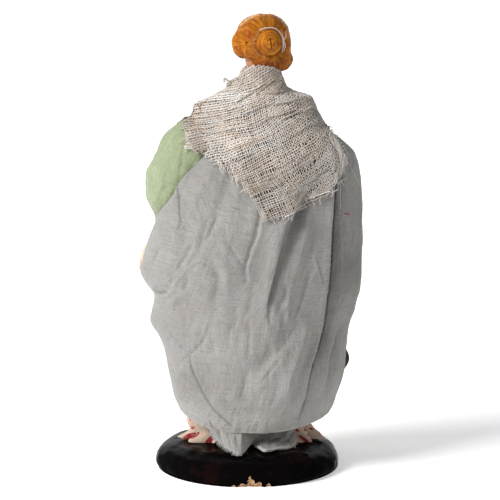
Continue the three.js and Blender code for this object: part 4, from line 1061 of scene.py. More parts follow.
def make_mantle(tree):
    nu, nv = 352, 240
    u = np.linspace(0, 1, nu)
    u = u + 0.045 * np.sin(2 * np.pi * (u - 0.04))
    u = (u - u[0]) / (u[-1] - u[0])
    U, Vv = np.meshgrid(u, np.linspace(0, 1, nv), indexing="ij")
    Z = np.full(U.shape, 60.0)
    PHI = np.zeros(U.shape)
    for _ in range(16):
        PHI = lerp(table(LEFT_EDGE, Z), table(RIGHT_EDGE, Z), U)
        top = table(TOP_EDGE, PHI)
        Z = lerp(Z, lerp(table(HEM, PHI) + 0.4, top, Vv), 0.6)
    x, y = mantle_point(PHI, Z)
    nx, ny = mantle_normal(PHI, Z)
    nx, ny = soften(nx, 3), soften(ny, 3)
    s = np.sin(np.radians(PHI))
    back = step(0.02, 0.42, s)
    h = relief(x, z=Z, rows=FOLDS) * back
    ld, ls, lt = to_line(x, Z, smooth_line(LAP))
    lz, lx = np.array(LAP)[::-1, 1], np.array(LAP)[::-1, 0]
    past = x + nx * h - (np.interp(Z, lz, lx) + nx * 0.9)
    hd, _, ht = to_line(x, Z, smooth_line(FOLDS[1][-1]))
    lap, seam = ld * ls, np.minimum(*[to_line(x, Z, smooth_line(q))[0] for q in (SEAM_UP, SEAM_LOW)])
    # painted shade: a dark line and a falloff to the right of the lapped edge, and darker cloth in the hollow under the
    # shawl's point; the seams get dark lines
    below = step(0.05, -0.20, lap) * step(100, 96, Z) * step(16, 20, Z)
    painted_shade_and_seam = below * (0.66 * np.exp(-(((past + 0.10) / 0.42) ** 2)) * (1 - 0.50 * step(0.70, 0.95, lt)) + 0.20 * np.exp(-(((past + 1.0) / 1.7) ** 2)) * (1 - step(0.6, 0.9, lt)))
    painted_shade_and_seam = painted_shade_and_seam + 0.17 * step(0.0, -1.2, lap) * step(30, 46, Z)
    painted_shade_and_seam = painted_shade_and_seam + (0.24 + 0.30 * step(0.35, 0.0, ht)) * np.exp(-((hd / 1.8) ** 2)) * step(0.8, 0.1, ht) + 0.48 * np.exp(-((seam / 0.32) ** 2))
    painted_shade_and_seam = 1 - np.clip(painted_shade_and_seam * back, 0, 0.8)
    # broad swell and small wrinkles that follow the hang of the cloth
    h = h + 0.50 * fbm(x * 0.075, Z * 0.045, y * 0.04, 2, seed=40) * step(14, 24, Z)
    across = x * 0.30 + 0.06 * (Z - 60)
    h = h + 0.16 * fbm(across, Z * 0.09, seed=43, octaves=3) * back
    fine = 1 - np.abs(noise(x * 0.34 + 0.16 * Z * 0.3, Z * 0.13 + 0.06 * x, seed=47))
    h = h - 0.07 * np.clip(fine - 0.80, 0, 1) * 5 * step(12, 20, Z) * (0.4 + 0.6 * noise(x * 0.08, Z * 0.08, seed=48))
    fine2 = 1 - np.abs(noise(x * 0.22 - 0.35 * Z * 0.4, Z * 0.20 + 0.10 * x, seed=53))
    h = h - 0.03 * np.clip(fine2 - 0.84, 0, 1) * 6 * step(12, 20, Z)
    # puckers a few threads wide
    h = h + 0.05 * noise(x * 0.9, Z * 0.35 + 0.2 * x, seed=54) + 0.035 * noise(x * 1.1 + 0.4 * Z, Z * 1.0, seed=55)
    x, y = x + nx * h, y + ny * h
    # stay clear of the body underneath
    cx = (table(OUTLINE, Z, 1) + table(OUTLINE, Z, 2)) / 2
    k = 4
    cxs, zs, xs, ys = [q[::k, ::k] for q in (cx, Z, x, y)]
    ang = np.arctan2(ys, xs - cxs)
    body = reach(tree, cxs.ravel(), 0.0, zs.ravel(), ang.ravel()).reshape(zs.shape)
    body = soften(highest(body, 1), 2)
    ui, vi = U * (cxs.shape[0] - 1), Vv * (cxs.shape[1] - 1)
    body = sample(body, np.arange(nu)[:, None] / k + 0 * U, np.arange(nv)[None] / k + 0 * U)
    far = np.hypot(x - cx, y)
    want = body + 0.75
    out = np.where(far < want, want + 0.0 * far, far)
    soft = 0.5 * (far + want + np.sqrt((far - want) ** 2 + 0.5))
    out = np.where(body > 0.1, np.maximum(out, np.minimum(soft, out + 0.3)), far)
    ang = np.arctan2(y, x - cx)
    x, y = cx + out * np.cos(ang), out * np.sin(ang)
    P = np.stack([x, y, Z], -1)
    inward = np.stack([-nx[:, 0], -ny[:, 0], 0 * nx[:, 0]], -1)
    base = P[:, 0, :]
    # the hem is folded in: rows that turn under and up inside
    m, rows = 14, []
    for q in range(m, 0, -1):
        t = q / m
        turn = min(t * 2.6, 1.0) * math.pi
        wob = 0.3 * noise(np.arange(nu) * 0.06, t * 2.0, seed=61) * t
        drop = -0.55 * math.sin(turn) + 3.4 * max(0.0, t - 0.385)
        depth = 0.62 * (1 - math.cos(turn)) + 1.2 * max(0.0, t - 0.385)
        rows.append(base + inward * (depth + wob)[:, None] + np.array([0, 0, drop]))
    # the upper edge is folded over to the inside as well
    m2, tops = 6, []
    edge = P[:, -1, :]
    inward2 = np.stack([-nx[:, -1], -ny[:, -1], 0 * nx[:, -1]], -1)
    for q in range(1, m2 + 1):
        t = q / m2
        turn = min(t * 1.6, 1.0) * math.pi
        tops.append(edge + inward2 * (0.30 * (1 - math.cos(turn))) + np.array([0, 0, 0.30 * math.sin(turn) - 2.2 * max(0.0, t - 0.62)]))
    P = np.concatenate([np.stack(rows, 1), P, np.stack(tops, 1)], 1)
    nvt = nv + m + m2
    V = P.reshape(-1, 3)
    # cloth coordinates: lengths along the grid
    du = np.concatenate([np.zeros((1, nvt)), np.cumsum(np.linalg.norm(np.diff(P, axis=0), axis=-1), 0)], 0)
    dv = np.concatenate([np.zeros((nu, 1)), np.cumsum(np.linalg.norm(np.diff(P, axis=1), axis=-1), 1)], 1)
    mid = du[nu // 2 : nu // 2 + 1]
    uv = np.stack([du - mid, dv], -1).reshape(-1, 2)
    tint = np.ones((nu, nvt, 3))
    # painted shade: cloth deep in the folds, along the lapped edge and under the shawl's point is darker, and the seams
    # show as dark lines
    tint[:, m : m + nv] *= painted_shade_and_seam[..., None]
    # a few faint stains on the cloth, and broad grey patches of painted shade, with one of painted light
    X, ZZ = P[..., 0], P[..., 2]
    for sx, sz, r, col, amt in (
        (21.5, 55, 5, (1.0, 0.86, 0.74), 0.18),
        (-31.5, 60, 5, (1.0, 0.90, 0.82), 0.25),
        (6, 30, 7, (1.0, 0.95, 0.88), 0.20),
        (14, 95, 4, (1.0, 0.90, 0.84), 0.15),
        (19, 31, 8, (0.76, 0.76, 0.76), 0.9),
        (-34, 68, 7, (0.80, 0.80, 0.80), 0.9),
        (-4, 84, 5, (1.12, 1.12, 1.12), 0.9),
        (29, 40, 7, (0.90, 0.90, 0.90), 0.9),
        (-16.5, 84.5, 3.6, (0.80, 0.80, 0.80), 0.9),
        (1, 68, 4.5, (0.86, 0.86, 0.86), 0.9),
    ):
        w = np.exp(-((X - sx) ** 2 + (ZZ - sz) ** 2) / r**2) * amt
        tint = tint * (1 - w[..., None]) + tint * np.array(col) * w[..., None]
    rowz = np.arange(nvt)[None, :] - m
    # painted highlight: a pale warm line along the turned hem, and painted light on the band just above it
    hem_highlight = np.exp(-(((rowz + 1.0) / 1.6) ** 2))[..., None]
    tint = tint * (1 + hem_highlight * np.array([0.34, 0.26, 0.22])) * (1 + 0.12 * np.exp(-(((rowz - 8.0) / 10.0) ** 2)))[..., None]
    ob = make("mantle_cloth", V, grid_faces(nu, nvt), M["mantle"], tint=tint.reshape(-1, 3), uv=uv)
    return ob


# lower edge of the cloth that shows under the hem, from its frayed left side past both folds to its right end
CORNER_LOW = [
    (12.4, 14.6, 15.8),
    (11.6, 15.6, 14.6),
    (10.2, 16.9, 12.9),
    (8.4, 18.6, 11.5),
    (6.4, 20.4, 10.5),
    (4.4, 22.0, 9.6),
    (2.7, 22.9, 9.0),
    (1.4, 21.4, 9.2),
    (0.0, 18.6, 10.0),
    (-1.4, 15.6, 11.0),
    (-2.6, 13.6, 12.0),
    (-3.4, 12.6, 13.2),
]
# rim of the second fold, which is turned up at its edge
FOLD_RIM = [(-2.2, 13.6), (-3.6, 15.8), (-5.6, 19.6), (-7.4, 19.0), (-10.2, 17.2), (-13.2, 15.4), (-14.6, 13.8), (-15.0, 12.4)]


def make_corner():
    """The corner of the mantle that hangs out under its hem: a flap with a frayed edge, and a fold beside it."""
    nu, nv = 220, 48
    low = smooth_line(CORNER_LOW, nu)
    u = np.linspace(0, 1, len(low))
    nu = len(low)
    top = np.stack([lerp(12.6, -4.2, u), 15.4 - 0.9 * np.sin(np.pi * u) - 2.6 * step(0.5, 1.0, u), np.full(nu, 18.6)], -1)
    U, W = np.meshgrid(u, np.linspace(0, 1, nv), indexing="ij")
    P = np.empty((nu, nv, 3))
    P[..., 0] = lerp(top[:, None, 0], low[:, None, 0], W**0.9)
    P[..., 1] = lerp(top[:, None, 1], low[:, None, 1], W**1.35)
    P[..., 2] = lerp(top[:, None, 2], low[:, None, 2], W**0.92)
    # a long soft crease down to the tip, a shorter one beside it, and the swell between them
    for u0, w0, d, k in ((0.50, 0.030, -0.35, 0.7), (0.60, 0.05, 0.45, 0.9), (0.30, 0.05, 0.30, 0.8), (0.22, 0.03, -0.22, 0.6)):
        P[..., 1] += d * np.exp(-(((U - u0 - 0.10 * (W - 0.5)) / w0) ** 2)) * np.sin(np.pi * np.clip(W * k + 0.15, 0, 1))
    P[..., 1] += 0.22 * fbm(U * 12, W * 3 + U * 4, seed=120, octaves=3) * np.sin(np.pi * W)
    P[..., 2] += 0.16 * noise(U * 30, W * 4, seed=122) * W
    uv = np.stack([U * 30, W * 12], -1).reshape(-1, 2)
    shade = np.ones((nu, nv, 3)) * (0.86 + 0.16 * W - 0.16 * step(0.62, 0.95, U))[..., None]
    sheet = make("mantle_corner", P.reshape(-1, 3), grid_faces(nu, nv), M["mantle"], tint=shade.reshape(-1, 3), uv=uv)
    mod = sheet.modifiers.new("thick", "SOLIDIFY")
    mod.thickness = 0.30 * MM
    mod.offset = 0

    # the second fold hangs back in the shadow of the hem, runs out over the base and turns up in a narrow rim
    rim = smooth_line(FOLD_RIM, 170)
    n2, m2 = len(rim), 54
    U, W = np.meshgrid(np.linspace(0, 1, n2), np.linspace(0, 1, m2), indexing="ij")
    x0 = lerp(-1.6, -15.4, U)
    wall = step(0.0, 0.55, W)
    run = step(0.45, 0.86, W)
    curl = step(0.86, 1.0, W)
    Q = np.empty((n2, m2, 3))
    Q[..., 0] = lerp(x0, rim[:, None, 0], step(0.1, 0.8, W))
    back = 12.6 - 0.6 * np.sin(np.pi * U)
    Q[..., 1] = lerp(back, rim[:, None, 1], run) + 0.28 * np.sin(np.pi * curl) - 0.35 * curl
    Q[..., 2] = 16.4 - 5.6 * wall - 1.75 * run + 0.85 * curl
    # slanting folds across the wall
    slant = U - 0.25 - 0.75 * (1 - W)
    Q[..., 1] += (1.5 * np.exp(-((slant / 0.10) ** 2)) + 0.9 * np.exp(-(((slant - 0.26) / 0.07) ** 2)) + 0.8 * np.exp(-(((slant + 0.26) / 0.08) ** 2))) * (1 - run) * step(0, 0.15, W)
    Q[..., 1] += 0.25 * fbm(U * 9, W * 4, seed=124, octaves=3) * (1 - curl)
    Q[..., 2] += 0.12 * noise(U * 16, W * 3, seed=125) + 0.35 * np.exp(-(((U - 0.52) / 0.05) ** 2)) * run * (1 - curl)
    Q[..., 2] = np.maximum(Q[..., 2], 8.78)
    uv2 = np.stack([U * 22, W * 14], -1).reshape(-1, 2)
    shade2 = np.ones((n2, m2, 3)) * (0.62 + 0.22 * np.abs(U - 0.4) + 0.52 * step(0.66, 0.93, W) * (1 - 0.3 * step(0.6, 1.0, U)))[..., None]
    fold = make("mantle_corner_fold", Q.reshape(-1, 3), grid_faces(n2, m2), M["mantle"], tint=shade2.reshape(-1, 3), uv=uv2)
    fold.parent = sheet
    mod = fold.modifiers.new("thick", "SOLIDIFY")
    mod.thickness = 0.30 * MM
    mod.offset = 0

    # frayed ends along the left side and a tuft at the right end of the fold
    rng = np.random.default_rng(3)
    paths, radii = [], []
    for k in range(260):
        i = int(rng.uniform(0.0, 0.60) * nu)
        a = P[i, -1]
        way = a - P[i, int(nv * 0.8)]
        way = way / np.linalg.norm(way) + np.array([0.55, 0.1, -0.35]) + rng.normal(0, 0.22, 3)
        way /= np.linalg.norm(way)
        L = rng.uniform(0.4, 1.5)
        t = np.linspace(-0.3, 1, 6)[:, None]
        q = a + way * L * t + rng.normal(0, 0.10, 3) * (t**2) * 2
        q[:, 2] = np.maximum(q[:, 2], 8.75)
        paths.append(q)
        radii.append(np.linspace(0.075, 0.04, 6))
    end = Q[int(n2 * 0.88), -1]
    for k in range(46):
        way = np.array([-0.5, 0.5, 0.25]) + rng.normal(0, 0.45, 3)
        way /= np.linalg.norm(way)
        t = np.linspace(0, 1, 6)[:, None]
        q = end + rng.normal(0, 0.25, 3) + way * rng.uniform(0.4, 1.2) * t
        q[:, 2] = np.maximum(q[:, 2], 8.8)
        paths.append(q)
        radii.append(np.full(6, 0.07))
    V, F = tubes(paths, radii, 4)
    fr = make("mantle_corner_fray", V, F, M["threads"], tint=np.ones((len(V), 3)) * np.array([0.50, 0.49, 0.47]))
    fr.parent = sheet
    return sheet


# ------------------------------------------------------------------ shawl

SHAWL_OUT = [
    (82, 3, -13),
    (96, 14, -30.2),
    (104, 17, -31.0),
    (108, 18.6, -29.4),
    (110, 19.4, -28.4),
    (112.5, 20.0, -26.4),
    (115.2, 19.4, -24.4),
    (117.8, 18.2, -22.9),
    (119.6, 17.8, -22.0),
    (120.8, 17.0, -21.4),
    (122.2, 13.0, -20.9),
    (123.2, 11.4, -20.0),
    (124.2, 9.8, -15.6),
    (125.4, 7.4, -13.3),
    (127.0, 6.6, -11.9),
    (128.2, 5.4, -11.4),
    (129.4, 3.0, -11.0),
    (131.0, 1.6, -10.5),
    (132.4, 1.2, -10.1),
    (134.2, 0.4, -9.4),
]
SHAWL_BACK = [(82, 19.8), (90, 18.9), (96, 17.6), (104, 15.6), (112, 13.0), (118, 11.2), (122, 10.4), (125, 9.6), (128, 8.8), (131, 7.8), (134.2, 6.4)]
# lower edge by angle; it counts on the front, and over the shoulders
SHAWL_LOW = [(-104, 98), (-84, 99), (-62, 103), (-45, 107.8), (-30, 111.5), (-15, 115.0), (0, 117.6), (12, 119.4), (24, 118.2), (40, 112), (150, 108), (160, 112), (172, 114.2), (188, 114.2), (205, 112), (222, 106), (242, 101), (268, 98)]
# outline of the shawl as it lies on the back, from her left shoulder down to the point and up to her right shoulder
SHAWL_EDGE = [
    (15.8, 121.2),
    (17.4, 119.9),
    (18.1, 118.2),
    (19.2, 116.4),
    (19.7, 114.4),
    (19.0, 112.0),
    (18.1, 109.7),
    (17.2, 107.9),
    (15.5, 106.5),
    (13.2, 105.2),
    (9.0, 102.4),
    (4.8, 99.3),
    (0.9, 95.6),
    (-0.6, 93.1),
    (-2.4, 91.0),
    (-4.2, 87.6),
    (-5.9, 85.2),
    (-7.4, 85.9),
    (-10.5, 86.2),
    (-13.2, 86.6),
    (-17.1, 88.4),
    (-19.7, 90.6),
    (-21.6, 92.0),
    (-25.4, 93.2),
    (-28.4, 95.4),
    (-30.1, 98.0),
    (-31.3, 100.8),
    (-31.8, 103.4),
    (-31.0, 106.1),
    (-29.2, 108.6),
    (-27.6, 111.0),
    (-27.2, 114.0),
]
SHAWL_FOLDS = [
    # listed from her right to her left; the first height is above the line, the second below it
    (0.5, 1.6, -0.4, 1.0, 0.14, 0.12, 0.35, [(-17.1, 120.0), (-14.1, 119.2), (-11.5, 118.5), (-9.3, 117.8), (-7.0, 117.5), (-5.8, 116.6), (-3.1, 114.9), (0.6, 113.4)]),
    (0.5, 1.3, -0.4, 0.9, 0.14, 0.12, 0.2, [(-6.1, 128.3), (-4.2, 127.1), (-1.0, 124.8), (2.2, 123.0), (4.8, 121.2)]),
    (0.3, 0.9, -0.35, 0.8, 0.14, 0.15, 0.2, [(-10.7, 129.1), (-8.0, 128.7), (-5.8, 127.4), (-3.5, 125.2), (-1.3, 123.6)]),
    (0.35, 1.1, -0.35, 0.9, 0.14, 0.15, 0.2, [(-8.7, 122.1), (-7.0, 121.3), (-3.4, 120.1), (-0.6, 118.9), (2.6, 117.9)]),
    (0.45, 1.2, -0.4, 1.0, 0.16, 0.15, 0.2, [(-17.4, 123.4), (-15.4, 122.8), (-13.1, 122.1), (-10.6, 121.5), (-8.7, 121.1)]),
    (0.35, 1.0, -0.35, 0.9, 0.16, 0.2, 0.2, [(-12.9, 125.6), (-11.3, 125.3), (-8.0, 125.0), (-4.8, 125.0)]),
    (0.5, 1.0, -0.35, 1.1, 0.2, 0.1, 0.3, [(-20.4, 120.1), (-17.4, 118.9), (-13.2, 117.6), (-9.3, 115.7)]),
    (0.3, 1.4, -0.3, 1.2, 0.4, 0.2, 0.3, [(-24.0, 115.1), (-20.0, 114.4), (-15.4, 112.1), (-11.5, 110.1)]),
    (0.35, 1.5, -0.35, 1.3, 0.4, 0.2, 0.3, [(-26.5, 109.2), (-21.2, 106.6), (-16.0, 104.1), (-10.2, 101.8), (-4.5, 100.3)]),
    (0.25, 1.2, -0.3, 1.0, 0.3, 0.2, 0.3, [(-4.5, 110.8), (0.0, 109.3), (4.5, 107.6), (9.0, 106.5)]),
    (0.25, 1.2, -0.3, 1.0, 0.3, 0.2, 0.3, [(-26.5, 101.5), (-21.8, 98.4), (-16.6, 95.6), (-11.5, 93.6)]),
    (-0.3, 0.9, 0.3, 1.0, 0.3, 0.2, 0.3, [(2.6, 116.4), (7.1, 115.3), (12.2, 114.8), (16.1, 114.5)]),
    (0.3, 1.1, -0.3, 0.9, 0.3, 0.2, 0.3, [(3.2, 113.9), (8.3, 112.5), (13.5, 111.3), (16.8, 110.3)]),
    (0.3, 0.9, -0.25, 0.9, 0.3, 0.2, 0.3, [(5.1, 120.1), (8.3, 119.4), (11.6, 118.6), (14.2, 118.4)]),
    (-0.45, 0.9, 0.45, 1.0, 0.3, 0.2, 0.3, [(-26.9, 110.3), (-28.5, 107.2), (-29.9, 103.2), (-29.2, 99.4), (-27.8, 96.1)]),
    (0.4, 0.8, -0.3, 0.9, 0.3, 0.2, 0.3, [(-24.2, 110.1), (-26.5, 106.2), (-27.8, 102.3), (-26.8, 98.5)]),
    (0.35, 0.8, -0.3, 0.7, 0.2, 0.1, 0.3, [(0.6, 130.6), (1.6, 128.8), (2.6, 126.9), (4.2, 125.0)]),
]
# rows where weft threads are missing, so that the warp shows as a ladder: points and half width
LADDERS = [
    ([(4.4, 103.2), (-1.0, 105.3), (-4.9, 107.3)], 0.16),
    ([(-1.7, 108.0), (-4.9, 109.2), (-6.6, 110.2)], 0.18),
    ([(-1.4, 91.9), (-6.2, 94.0), (-9.8, 95.9), (-13.4, 98.0), (-17.3, 100.6)], 0.36),
    ([(-14.0, 88.7), (-16.4, 90.5), (-18.2, 92.2), (-20.6, 94.1), (-22.9, 96.1)], 0.42),
    ([(-19.0, 100.9), (-22.9, 104.5), (-25.2, 106.8)], 0.34),
    ([(-9.5, 104.0), (-12.8, 105.6), (-16.7, 107.6), (-20.6, 110.6)], 0.20),
    ([(-14.7, 97.1), (-17.7, 100.1), (-19.3, 101.4)], 0.22),
    ([(-2.0, 98.4), (-6.2, 100.1), (-9.0, 101.6)], 0.20),
    ([(-6.5, 88.0), (-9.5, 89.6), (-12.0, 91.0)], 0.18),
]


class Shawl:
    """The shawl's surface as a radius over angle and height, and its threads laid on it."""

    def __init__(self, tree):
        self.phi = np.linspace(-104, 268, 374)
        self.z = np.linspace(82, 134.8, 158)
        PH, Z = np.meshgrid(self.phi, self.z, indexing="ij")
        c, s = np.cos(np.radians(PH)), np.sin(np.radians(PH))
        self.mid = lambda z: lerp(-4.2, -2.2, step(128, 112, z))
        mid = self.mid(Z)
        l, r = table(SHAWL_OUT, Z, 1), table(SHAWL_OUT, Z, 2)
        a = np.where(c > 0, l - mid, mid - r)
        b = np.where(s > 0, table(SHAWL_BACK, Z), table(SHAWL_BACK, Z) * 0.86)
        x, y = a * c, b * s
        ang = np.arctan2(y, x)
        # keep the angle growing past half a turn
        ang = np.where(PH > 180, np.where(ang < 0, ang + 2 * np.pi, ang), ang)
        ang = np.where((PH < -90) & (ang > 0), ang - 2 * np.pi, ang)
        R = np.hypot(x, y)
        body = reach(tree, mid.ravel(), 0.0, Z.ravel(), ang.ravel()).reshape(Z.shape)
        body = soften(highest(body, 1), 1)
        want = body + 0.9
        R = np.where(R > want, R, want)
        R = soften(R, 1)
        back = step(0.0, 0.4, s)
        X = mid + R * np.cos(ang)
        h = relief(X, Z, SHAWL_FOLDS) * back
        h = h + 0.30 * fbm(X * 0.10 + 3, Z * 0.22 + 0.10 * X, 0, 3, seed=71)
        slope = Z - 0.42 * X  # height across the folds, which rise to the right seen from behind
        h = h + 0.30 * noise(X * 0.05, slope * 0.30, seed=73) + 0.14 * noise(X * 0.10, slope * 0.75, seed=74)
        R = np.maximum(R + h, want - 0.1)
        R = R + 1.5 * step(-20, -90, PH)
        self.ang, self.R = ang, R
        # arc length from the middle of the back at each height
        x, y = mid + R * np.cos(ang), R * np.sin(ang)
        seg = np.hypot(np.diff(x, axis=0), np.diff(y, axis=0))
        s0 = np.concatenate([np.zeros((1, len(self.z))), np.cumsum(seg, 0)], 0)
        k = int(np.argmin(np.abs(self.phi - 90)))
        self.s = -(s0 - s0[k : k + 1])  # positive towards +X

    def angle_at(self, s, z):
        """phi for an arc length and height."""
        f = (z - self.z[0]) / (self.z[1] - self.z[0])
        f = np.clip(f, 0, len(self.z) - 1.001)
        j = f.astype(int)
        w = f - j
        out = np.zeros(s.shape)
        for jj in np.unique(j):
            m = j == jj
            p0 = np.interp(-s[m], -self.s[:, jj], self.phi)
            p1 = np.interp(-s[m], -self.s[:, jj + 1], self.phi)
            out[m] = p0 * (1 - w[m]) + p1 * w[m]
        return out

    def ends(self, z):
        """Arc lengths of the two vertical edges at a height."""
        f = (z - self.z[0]) / (self.z[1] - self.z[0])
        return np.interp(f, np.arange(len(self.z)), self.s[0]), np.interp(f, np.arange(len(self.z)), self.s[-1])

    def point(self, phi, z, lift=0.0):
        u = (phi - self.phi[0]) / (self.phi[1] - self.phi[0])
        v = (z - self.z[0]) / (self.z[1] - self.z[0])
        R = sample(self.R, u, v) + lift
        a = sample(self.ang, u, v)
        m = self.mid(z)
        return np.stack([m + R * np.cos(a), R * np.sin(a), z], -1)

    def top(self, phi):
        p = np.radians(phi)
        return 133.5 - 5.0 * step(0.1, -0.9, np.sin(p)) - 0.9 * step(0.9, 0.2, np.sin(p)) + 0.2 * np.sin(5 * p + 1)

    def beyond(self, phi, p):
        """How far points p of the surface lie outside the cloth's edge, in mm; negative inside it."""
        out = table(SHAWL_LOW, phi) - p[..., 2]
        back = (p[..., 1] > 2.0) & (p[..., 2] < 121.3) & (phi > 0) & (phi < 190)
        if back.any():
            d, side, _ = to_line(p[back][:, 0], p[back][:, 2], EDGE_LINE)
            out[back] = d * side
        return out


EDGE_LINE = smooth_line(SHAWL_EDGE, 120)
# to_line gives + on one side; make it + outside the cloth
if to_line(np.array([-4.0]), np.array([105.0]), EDGE_LINE)[1][0] > 0:
    EDGE_LINE = EDGE_LINE[::-1]


def bend(s):
    """How much the weft bows from a straight line: level on her left, steeper on her right."""
    return np.where(s > 0, 0.0105 * s * s / (1 + s / 60), 0.0040 * s * s / (1 + np.abs(s) / 40))


THETA = math.radians(24)


def cloth_to_surface(a, b):
    """Thread coordinates (along the weft towards her right, and up across it) to arc length and height."""
    s = -a * math.cos(THETA) + b * math.sin(THETA)
    z = a * math.sin(THETA) + b * math.cos(THETA) + 100
    return s, z + bend(s)


def make_shawl(sh):
    # under layer: the sheet itself, coloured dark as painted shade that shows through the gaps between the threads
    nu, nv = 280, 140
    PH, W = np.meshgrid(np.linspace(-104, 268, nu), np.linspace(0, 1, nv), indexing="ij")
    Zt = lerp(83.0, sh.top(PH) - 0.4, W)
    P = sh.point(PH, Zt, -0.36)
    S = sample(sh.s, (PH + 104) / (sh.phi[1] - sh.phi[0]), (Zt - sh.z[0]) / (sh.z[1] - sh.z[0]))
    zc = Zt - bend(S)
    ua = -S * math.cos(THETA) + (zc - 100) * math.sin(THETA)
    ub = S * math.sin(THETA) + (zc - 100) * math.cos(THETA)
    uv = np.stack([ua, ub], -1).reshape(-1, 2)
    shade = np.ones((nu, nv, 3)) * (0.85 + 0.5 * noise(ua * 0.1, ub * 0.5, seed=80))[..., None]
    # painted shade: the under layer is darker along the ladders, where the missing weft leaves holes
    hole = np.ones((nu, nv))
    for pts, w in LADDERS:
        d, _, _ = to_line(P[..., 0], P[..., 2], smooth_line(pts, 20))
        hole = np.minimum(hole, 0.38 + 0.62 * step(w * 0.8, w * 2.2, np.where(P[..., 1] > 0, d, 99)))
    # less painted shade inside the collar, where the cloth is dense, and on the front
    shade = shade * hole[..., None] * (1 + 1.5 * step(120, 127, Zt))[..., None]
    shade = shade * (1 + 1.3 * step(0.15, -0.4, np.sin(np.radians(PH))))[..., None]
    out = sh.beyond(PH.reshape(-1), P.reshape(-1, 3))
    F = grid_faces(nu, nv)
    F = F[(out[F] < -0.35).all(1)]
    used = np.unique(F)
    new = -np.ones(nu * nv, np.int64)
    new[used] = np.arange(len(used))
    under = make("shawl_gauze", P.reshape(-1, 3)[used], new[F], M["under"], tint=shade.reshape(-1, 3)[used], uv=uv[used])

    # threads
    pa, pb = 0.63, 0.69  # pitch of the warp threads along the weft, and of the weft threads
    rng = np.random.default_rng(11)
    # warm beige where the cloth is dense, grey white in streaks that run along the weft
    warm, cool, brown_tone = np.array([0.71, 0.62, 0.535]), np.array([0.72, 0.69, 0.655]), np.array([0.56, 0.45, 0.36])

    def run(kind):
        paths, radii, ups, cols = [], [], [], []
        pitch = pb if kind == "weft" else pa
        lo, hi = (-75, 75) if kind == "weft" else (-95, 95)
        count = int((hi - lo) / pitch)
        for k in range(count):
            c = lo + k * pitch + rng.normal(0, 0.07 * pitch)
            long = np.arange(-95, 95, 0.40)
            one = np.full_like(long, 1.0)
            wob = 0.16 * noise(long * 0.16, one * k * 3.7, seed=83) + 0.05 * noise(long * 0.9, one * k * 1.3, seed=84)
            # neighbouring threads drift together, which opens and closes the weave in streaks
            wob = wob + 0.20 * noise(long * 0.07 + 7, one * c * 0.34, seed=90)
            fray = rng.uniform(-0.5, 0.9) if rng.random() < 0.85 else rng.uniform(0.9, 2.2)
            mixed, level = rng.uniform(-0.35, 0.35), rng.uniform(0.92, 1.05) if kind == "weft" else rng.uniform(0.93, 1.00)
            thick = rng.choice([0.88, 0.95, 1.0, 1.06, 1.20], p=[0.18, 0.30, 0.30, 0.18, 0.04]) if kind == "weft" else rng.uniform(0.94, 1.06)
            if kind == "weft":
                a, b = long, c + wob
            else:
                a, b = c + wob, long
            s, z = cloth_to_surface(a, b)
            # the loose weave has slipped here and there, warp and weft together
            slip = noise(s * 0.11 + 3, z * 0.15, seed=62), noise(s * 0.09, z * 0.14 + 5, seed=63), noise(s * 0.31, z * 0.36, seed=59)
            s, z = s + 0.85 * slip[0] + 0.22 * slip[2], z + 0.75 * slip[1] + 0.18 * slip[2]
            ok = (z > 83.0) & (z < 134.4)
            zz = np.clip(z, 82.1, 134.6)
            e0, e1 = sh.ends(zz)
            ok &= (s < e0) & (s > e1)
            if ok.sum() < 3:
                continue
            phi = np.full(s.shape, 90.0)
            phi[ok] = sh.angle_at(s[ok], zz[ok])
            p = sh.point(phi, zz)
            out = sh.beyond(phi, p)
            # the short end on her left shoulder frays more than the rest
            extra = 0.8 * (p[:, 0] > 9) * (p[:, 1] > 0) * (p[:, 2] < 116) if kind == "weft" else 0.0
            ok &= (out < fray + extra) & (z < sh.top(phi))
            if kind == "weft" and ok.sum() > 3:
                for pts, w in LADDERS:
                    line = np.asarray(pts)
                    m = ok & (p[:, 1] > 0) & (p[:, 0] > line[:, 0].min() - 1) & (p[:, 0] < line[:, 0].max() + 1)
                    if m.any():
                        d, _, _ = to_line(p[m, 0], p[m, 2], smooth_line(pts, 14))
                        bad = np.zeros(len(ok), bool)
                        bad[m] = d < w
                        ok &= ~bad
            # split into runs
            edges = np.flatnonzero(np.diff(np.concatenate([[0], ok.astype(int), [0]])))
            for q0, q1 in zip(edges[::2], edges[1::2]):
                if q1 - q0 < 4:
                    continue
                ss = slice(q0, q1)
                n = q1 - q0
                over = np.clip(out[ss], 0, 3)
                other = (a[ss] / pa) if kind == "weft" else (b[ss] / pb)
                par = k if kind == "weft" else k + 1
                lift = 0.17 * np.cos(np.pi * (other + par)) + 0.06 * noise(long[ss] * 0.5, np.full(n, k * 2.1), seed=85)
                lift = lift + over * 0.10 + 0.05 * (thick - 1)
                q = sh.point(phi[ss], zz[ss], lift)
                drift = np.stack([noise(long[ss] * 0.8, np.full(n, k * 5.5), seed=86), 0 * over, noise(long[ss] * 0.8, np.full(n, k * 7.5), seed=87)], -1)
                q = q + over[:, None] * 0.30 * drift
                q[:, 2] -= 0.10 * over**2
                r = (0.188 if kind == "weft" else 0.184) * thick * (1 + 0.22 * noise(long[ss] * 1.7, np.full(n, k * 6.3), seed=67) + 0.16 * noise(long[ss] * 0.7, np.full(n, k * 9.1), seed=88))
